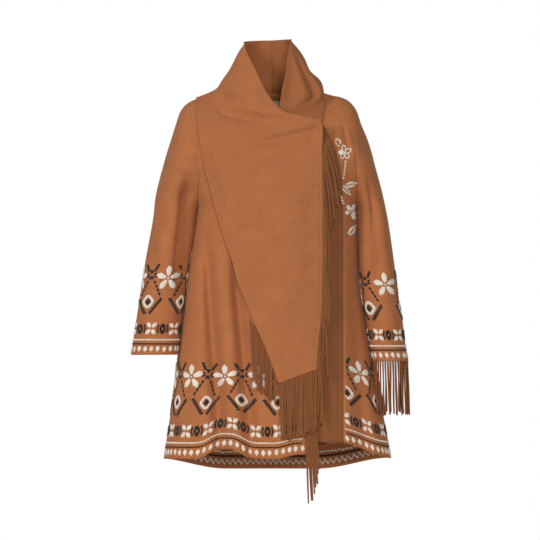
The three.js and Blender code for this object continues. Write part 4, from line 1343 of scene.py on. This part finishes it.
# ---- The coat ----
back = cloth_grid("back_panel", back_grid(), coat_felt, ["back"])
front_right = cloth_grid("right_front", front_right_grid(), coat_felt, ["front_right"])
flank, band = left_front_grid(BAND_TO_X, None, 40), left_front_grid(BAND_FROM_X, BAND_TO_X, 60)
front_left = cloth_grid("left_front", seam_roll(flank), coat_felt, ["front_left"])
front_band = cloth_grid("left_front_band", seam_roll(band, left=False), band_felt_painted_shade, ["front_band"])
sleeve_right = cloth_grid("right_sleeve", sleeve_grid(RIGHT), coat_felt, ["sleeve_right"])
sleeve_left = cloth_grid("left_sleeve", sleeve_grid(LEFT), coat_felt, ["sleeve_left"])
scarf_over = cloth("upper_scarf", *upper_scarf(), scarf_felt, "scarf_felt", ["collar_right", "scarf_over"])
scarf_under = cloth("under_scarf", *under_scarf(), under_felt_painted_shade, "scarf_felt", ["collar_left", "scarf_under"])
label_x, label_z = np.meshgrid(np.linspace(-2, 18, 12), np.linspace(-17, -6, 8))
label = cloth_grid("blank_label", lifted(label_x, label_z, back_y, BACK, -FELT - 1.0), label_tape,
                   ["neck_label"], "label_cloth", 0.8)

side = strip_mesh("side_fringe", side_fringe(), fringe_felt, ["fringe_side"])
last_row = laid(np.array([1.0]), np.linspace(0, 1, 12), OVER_LEFT_EDGE, OVER_RIGHT_EDGE, over_point)[0]
lower_edge = last_row[:, [0, 2]]
end = strip_mesh("end_fringe", row_fringe(
    route(lower_edge), 16, route([(20, -822), (47, -820), (78, -812), (103, -804)]), OVER_LIFT - 1, wide=5.4),
    fringe_felt, ["fringe_end"])
under = strip_mesh("under_fringe", row_fringe(
    UNDER_LEFT_EDGE, 12, route([(-44, -672), (-30, -704), (-10, -722), (12, -728)]), UNDER_LIFT + 1.5,
    0.59, 0.82, wide=5.2),
    fringe_felt, ["fringe_under"])
low = strip_mesh("low_fringe", row_fringe(
    route([(79, -806), (92, -812), (105, -812)]), 8,
    route([(84, -974), (95, -972), (100, -944), (108, -915), (115, -880)]), UNDER_LIFT + 1, 0, 1, 1.0, 4.8),
    fringe_felt, ["fringe_low"])
cuff = strip_mesh("cuff_fringe", cuff_fringe(), fringe_felt, ["fringe_cuff"])

hem_ivory, hem_black = hem_border()
on_hem = placer(hem_point)
hem_work = [stitch_mesh("hem_ivory", hem_ivory, on_hem, ivory_yarn),
            stitch_mesh("hem_black", hem_black, on_hem, black_yarn)]
for thread, material, colour_name in zip(inside_of_hem(), (ivory_yarn, black_yarn), ("ivory", "black")):
    name = f"hem_reverse_{colour_name}"
    stitch_mesh(name, thread, on_hem, material, inside=True)
cuff_work = {RIGHT: [], LEFT: []}
for wearer_side, side_name in ((RIGHT, "right"), (LEFT, "left")):
    ivory, black, on_cuff = cuff_border(wearer_side)
    for thread, material, colour_name in ((ivory, ivory_yarn, "ivory"), (black, black_yarn, "black")):
        name = f"{side_name}_cuff_{colour_name}"
        cuff_work[wearer_side].append(stitch_mesh(name, thread, on_cuff, material))
chest_work = stitch_mesh("chest_flowers", chest_flowers(), placer(chest_point), ivory_yarn)
on_neck = placer(inner_neck_point)
neck_work = stitch_mesh("neck_stitching", neck_stitches(), on_neck, seam_thread)

# ---- Stage, light and camera ----
# In metres.
FLOOR_Z = -1.17
AMBIENT = 0.3  # strength of the light from all round
VIEW_WIDE = 1.296  # width of view at the coat's front
VIEW_DISTANCE = 30.0
VIEW_CENTRE = (-0.0048, -0.11, -0.4152)
SENSOR = 36  # the camera's sensor, in millimetres
LIT = (0, 0, -0.4)  # where the lights point


def floor():
    mesh = bpy.data.meshes.new("floor")
    corners = [(x, y, FLOOR_Z) for x, y in ((-1, -1), (1, -1), (1, 1), (-1, 1))]
    mesh.from_pydata(corners, [], [(0, 1, 2, 3)])
    made = bpy.data.objects.new("floor", mesh)
    bpy.context.scene.collection.objects.link(made)
    material = bpy.data.materials.new("pale_floor")
    material.use_nodes = True
    shader = material.node_tree.nodes["Principled BSDF"]
    shader.inputs["Base Color"].default_value = (0.9, 0.9, 0.9, 1)
    shader.inputs["Roughness"].default_value = 0.9
    made.data.materials.append(material)


def studio():
    """Soft grey light from all round, and a white wall of light far behind the coat."""
    world = bpy.data.worlds.new("studio")
    world.use_nodes = True
    nodes, links = world.node_tree.nodes, world.node_tree.links
    direction = nodes.new("ShaderNodeSeparateXYZ")
    links.new(nodes.new("ShaderNodeTexCoord").outputs["Generated"], direction.inputs["Vector"])
    level = nodes.new("ShaderNodeMapRange")
    level.inputs["From Min"].default_value, level.inputs["From Max"].default_value = 0.93, 0.98
    level.inputs["To Min"].default_value, level.inputs["To Max"].default_value = AMBIENT, 1.0
    links.new(direction.outputs["Y"], level.inputs["Value"])
    background = nodes["Background"]
    background.inputs["Color"].default_value = (1, 1, 1, 1)
    links.new(level.outputs["Result"], background.inputs["Strength"])
    bpy.context.scene.world = world
    bpy.context.scene.view_settings.view_transform = "Standard"


def softbox(name, place, size, power):
    light = bpy.data.lights.new(name, "AREA")
    light.shape, light.size, light.energy = "SQUARE", size, power
    made = bpy.data.objects.new(name, light)
    bpy.context.scene.collection.objects.link(made)
    made.location = place
    made.rotation_mode = "QUATERNION"
    made.rotation_quaternion = (Vector(LIT) - Vector(place)).to_track_quat("-Z", "Y")


floor()
studio()
softbox("key", (-3.6, -3.8, 2.0), 1.3, 130)
softbox("back", (0, 5.0, 1.5), 2.0, 70)
softbox("fill", (0.5, -5.4, 0.5), 1.4, 135)

camera = bpy.data.cameras.new("camera")
camera.sensor_width = SENSOR
camera.lens = SENSOR * VIEW_DISTANCE / VIEW_WIDE
camera.clip_end = 100
holder = bpy.data.objects.new("camera", camera)
holder.location = (VIEW_CENTRE[0], VIEW_CENTRE[1] - VIEW_DISTANCE, VIEW_CENTRE[2])
holder.rotation_euler = (math.pi / 2, 0, 0)
bpy.context.scene.collection.objects.link(holder)
bpy.context.scene.camera = holder
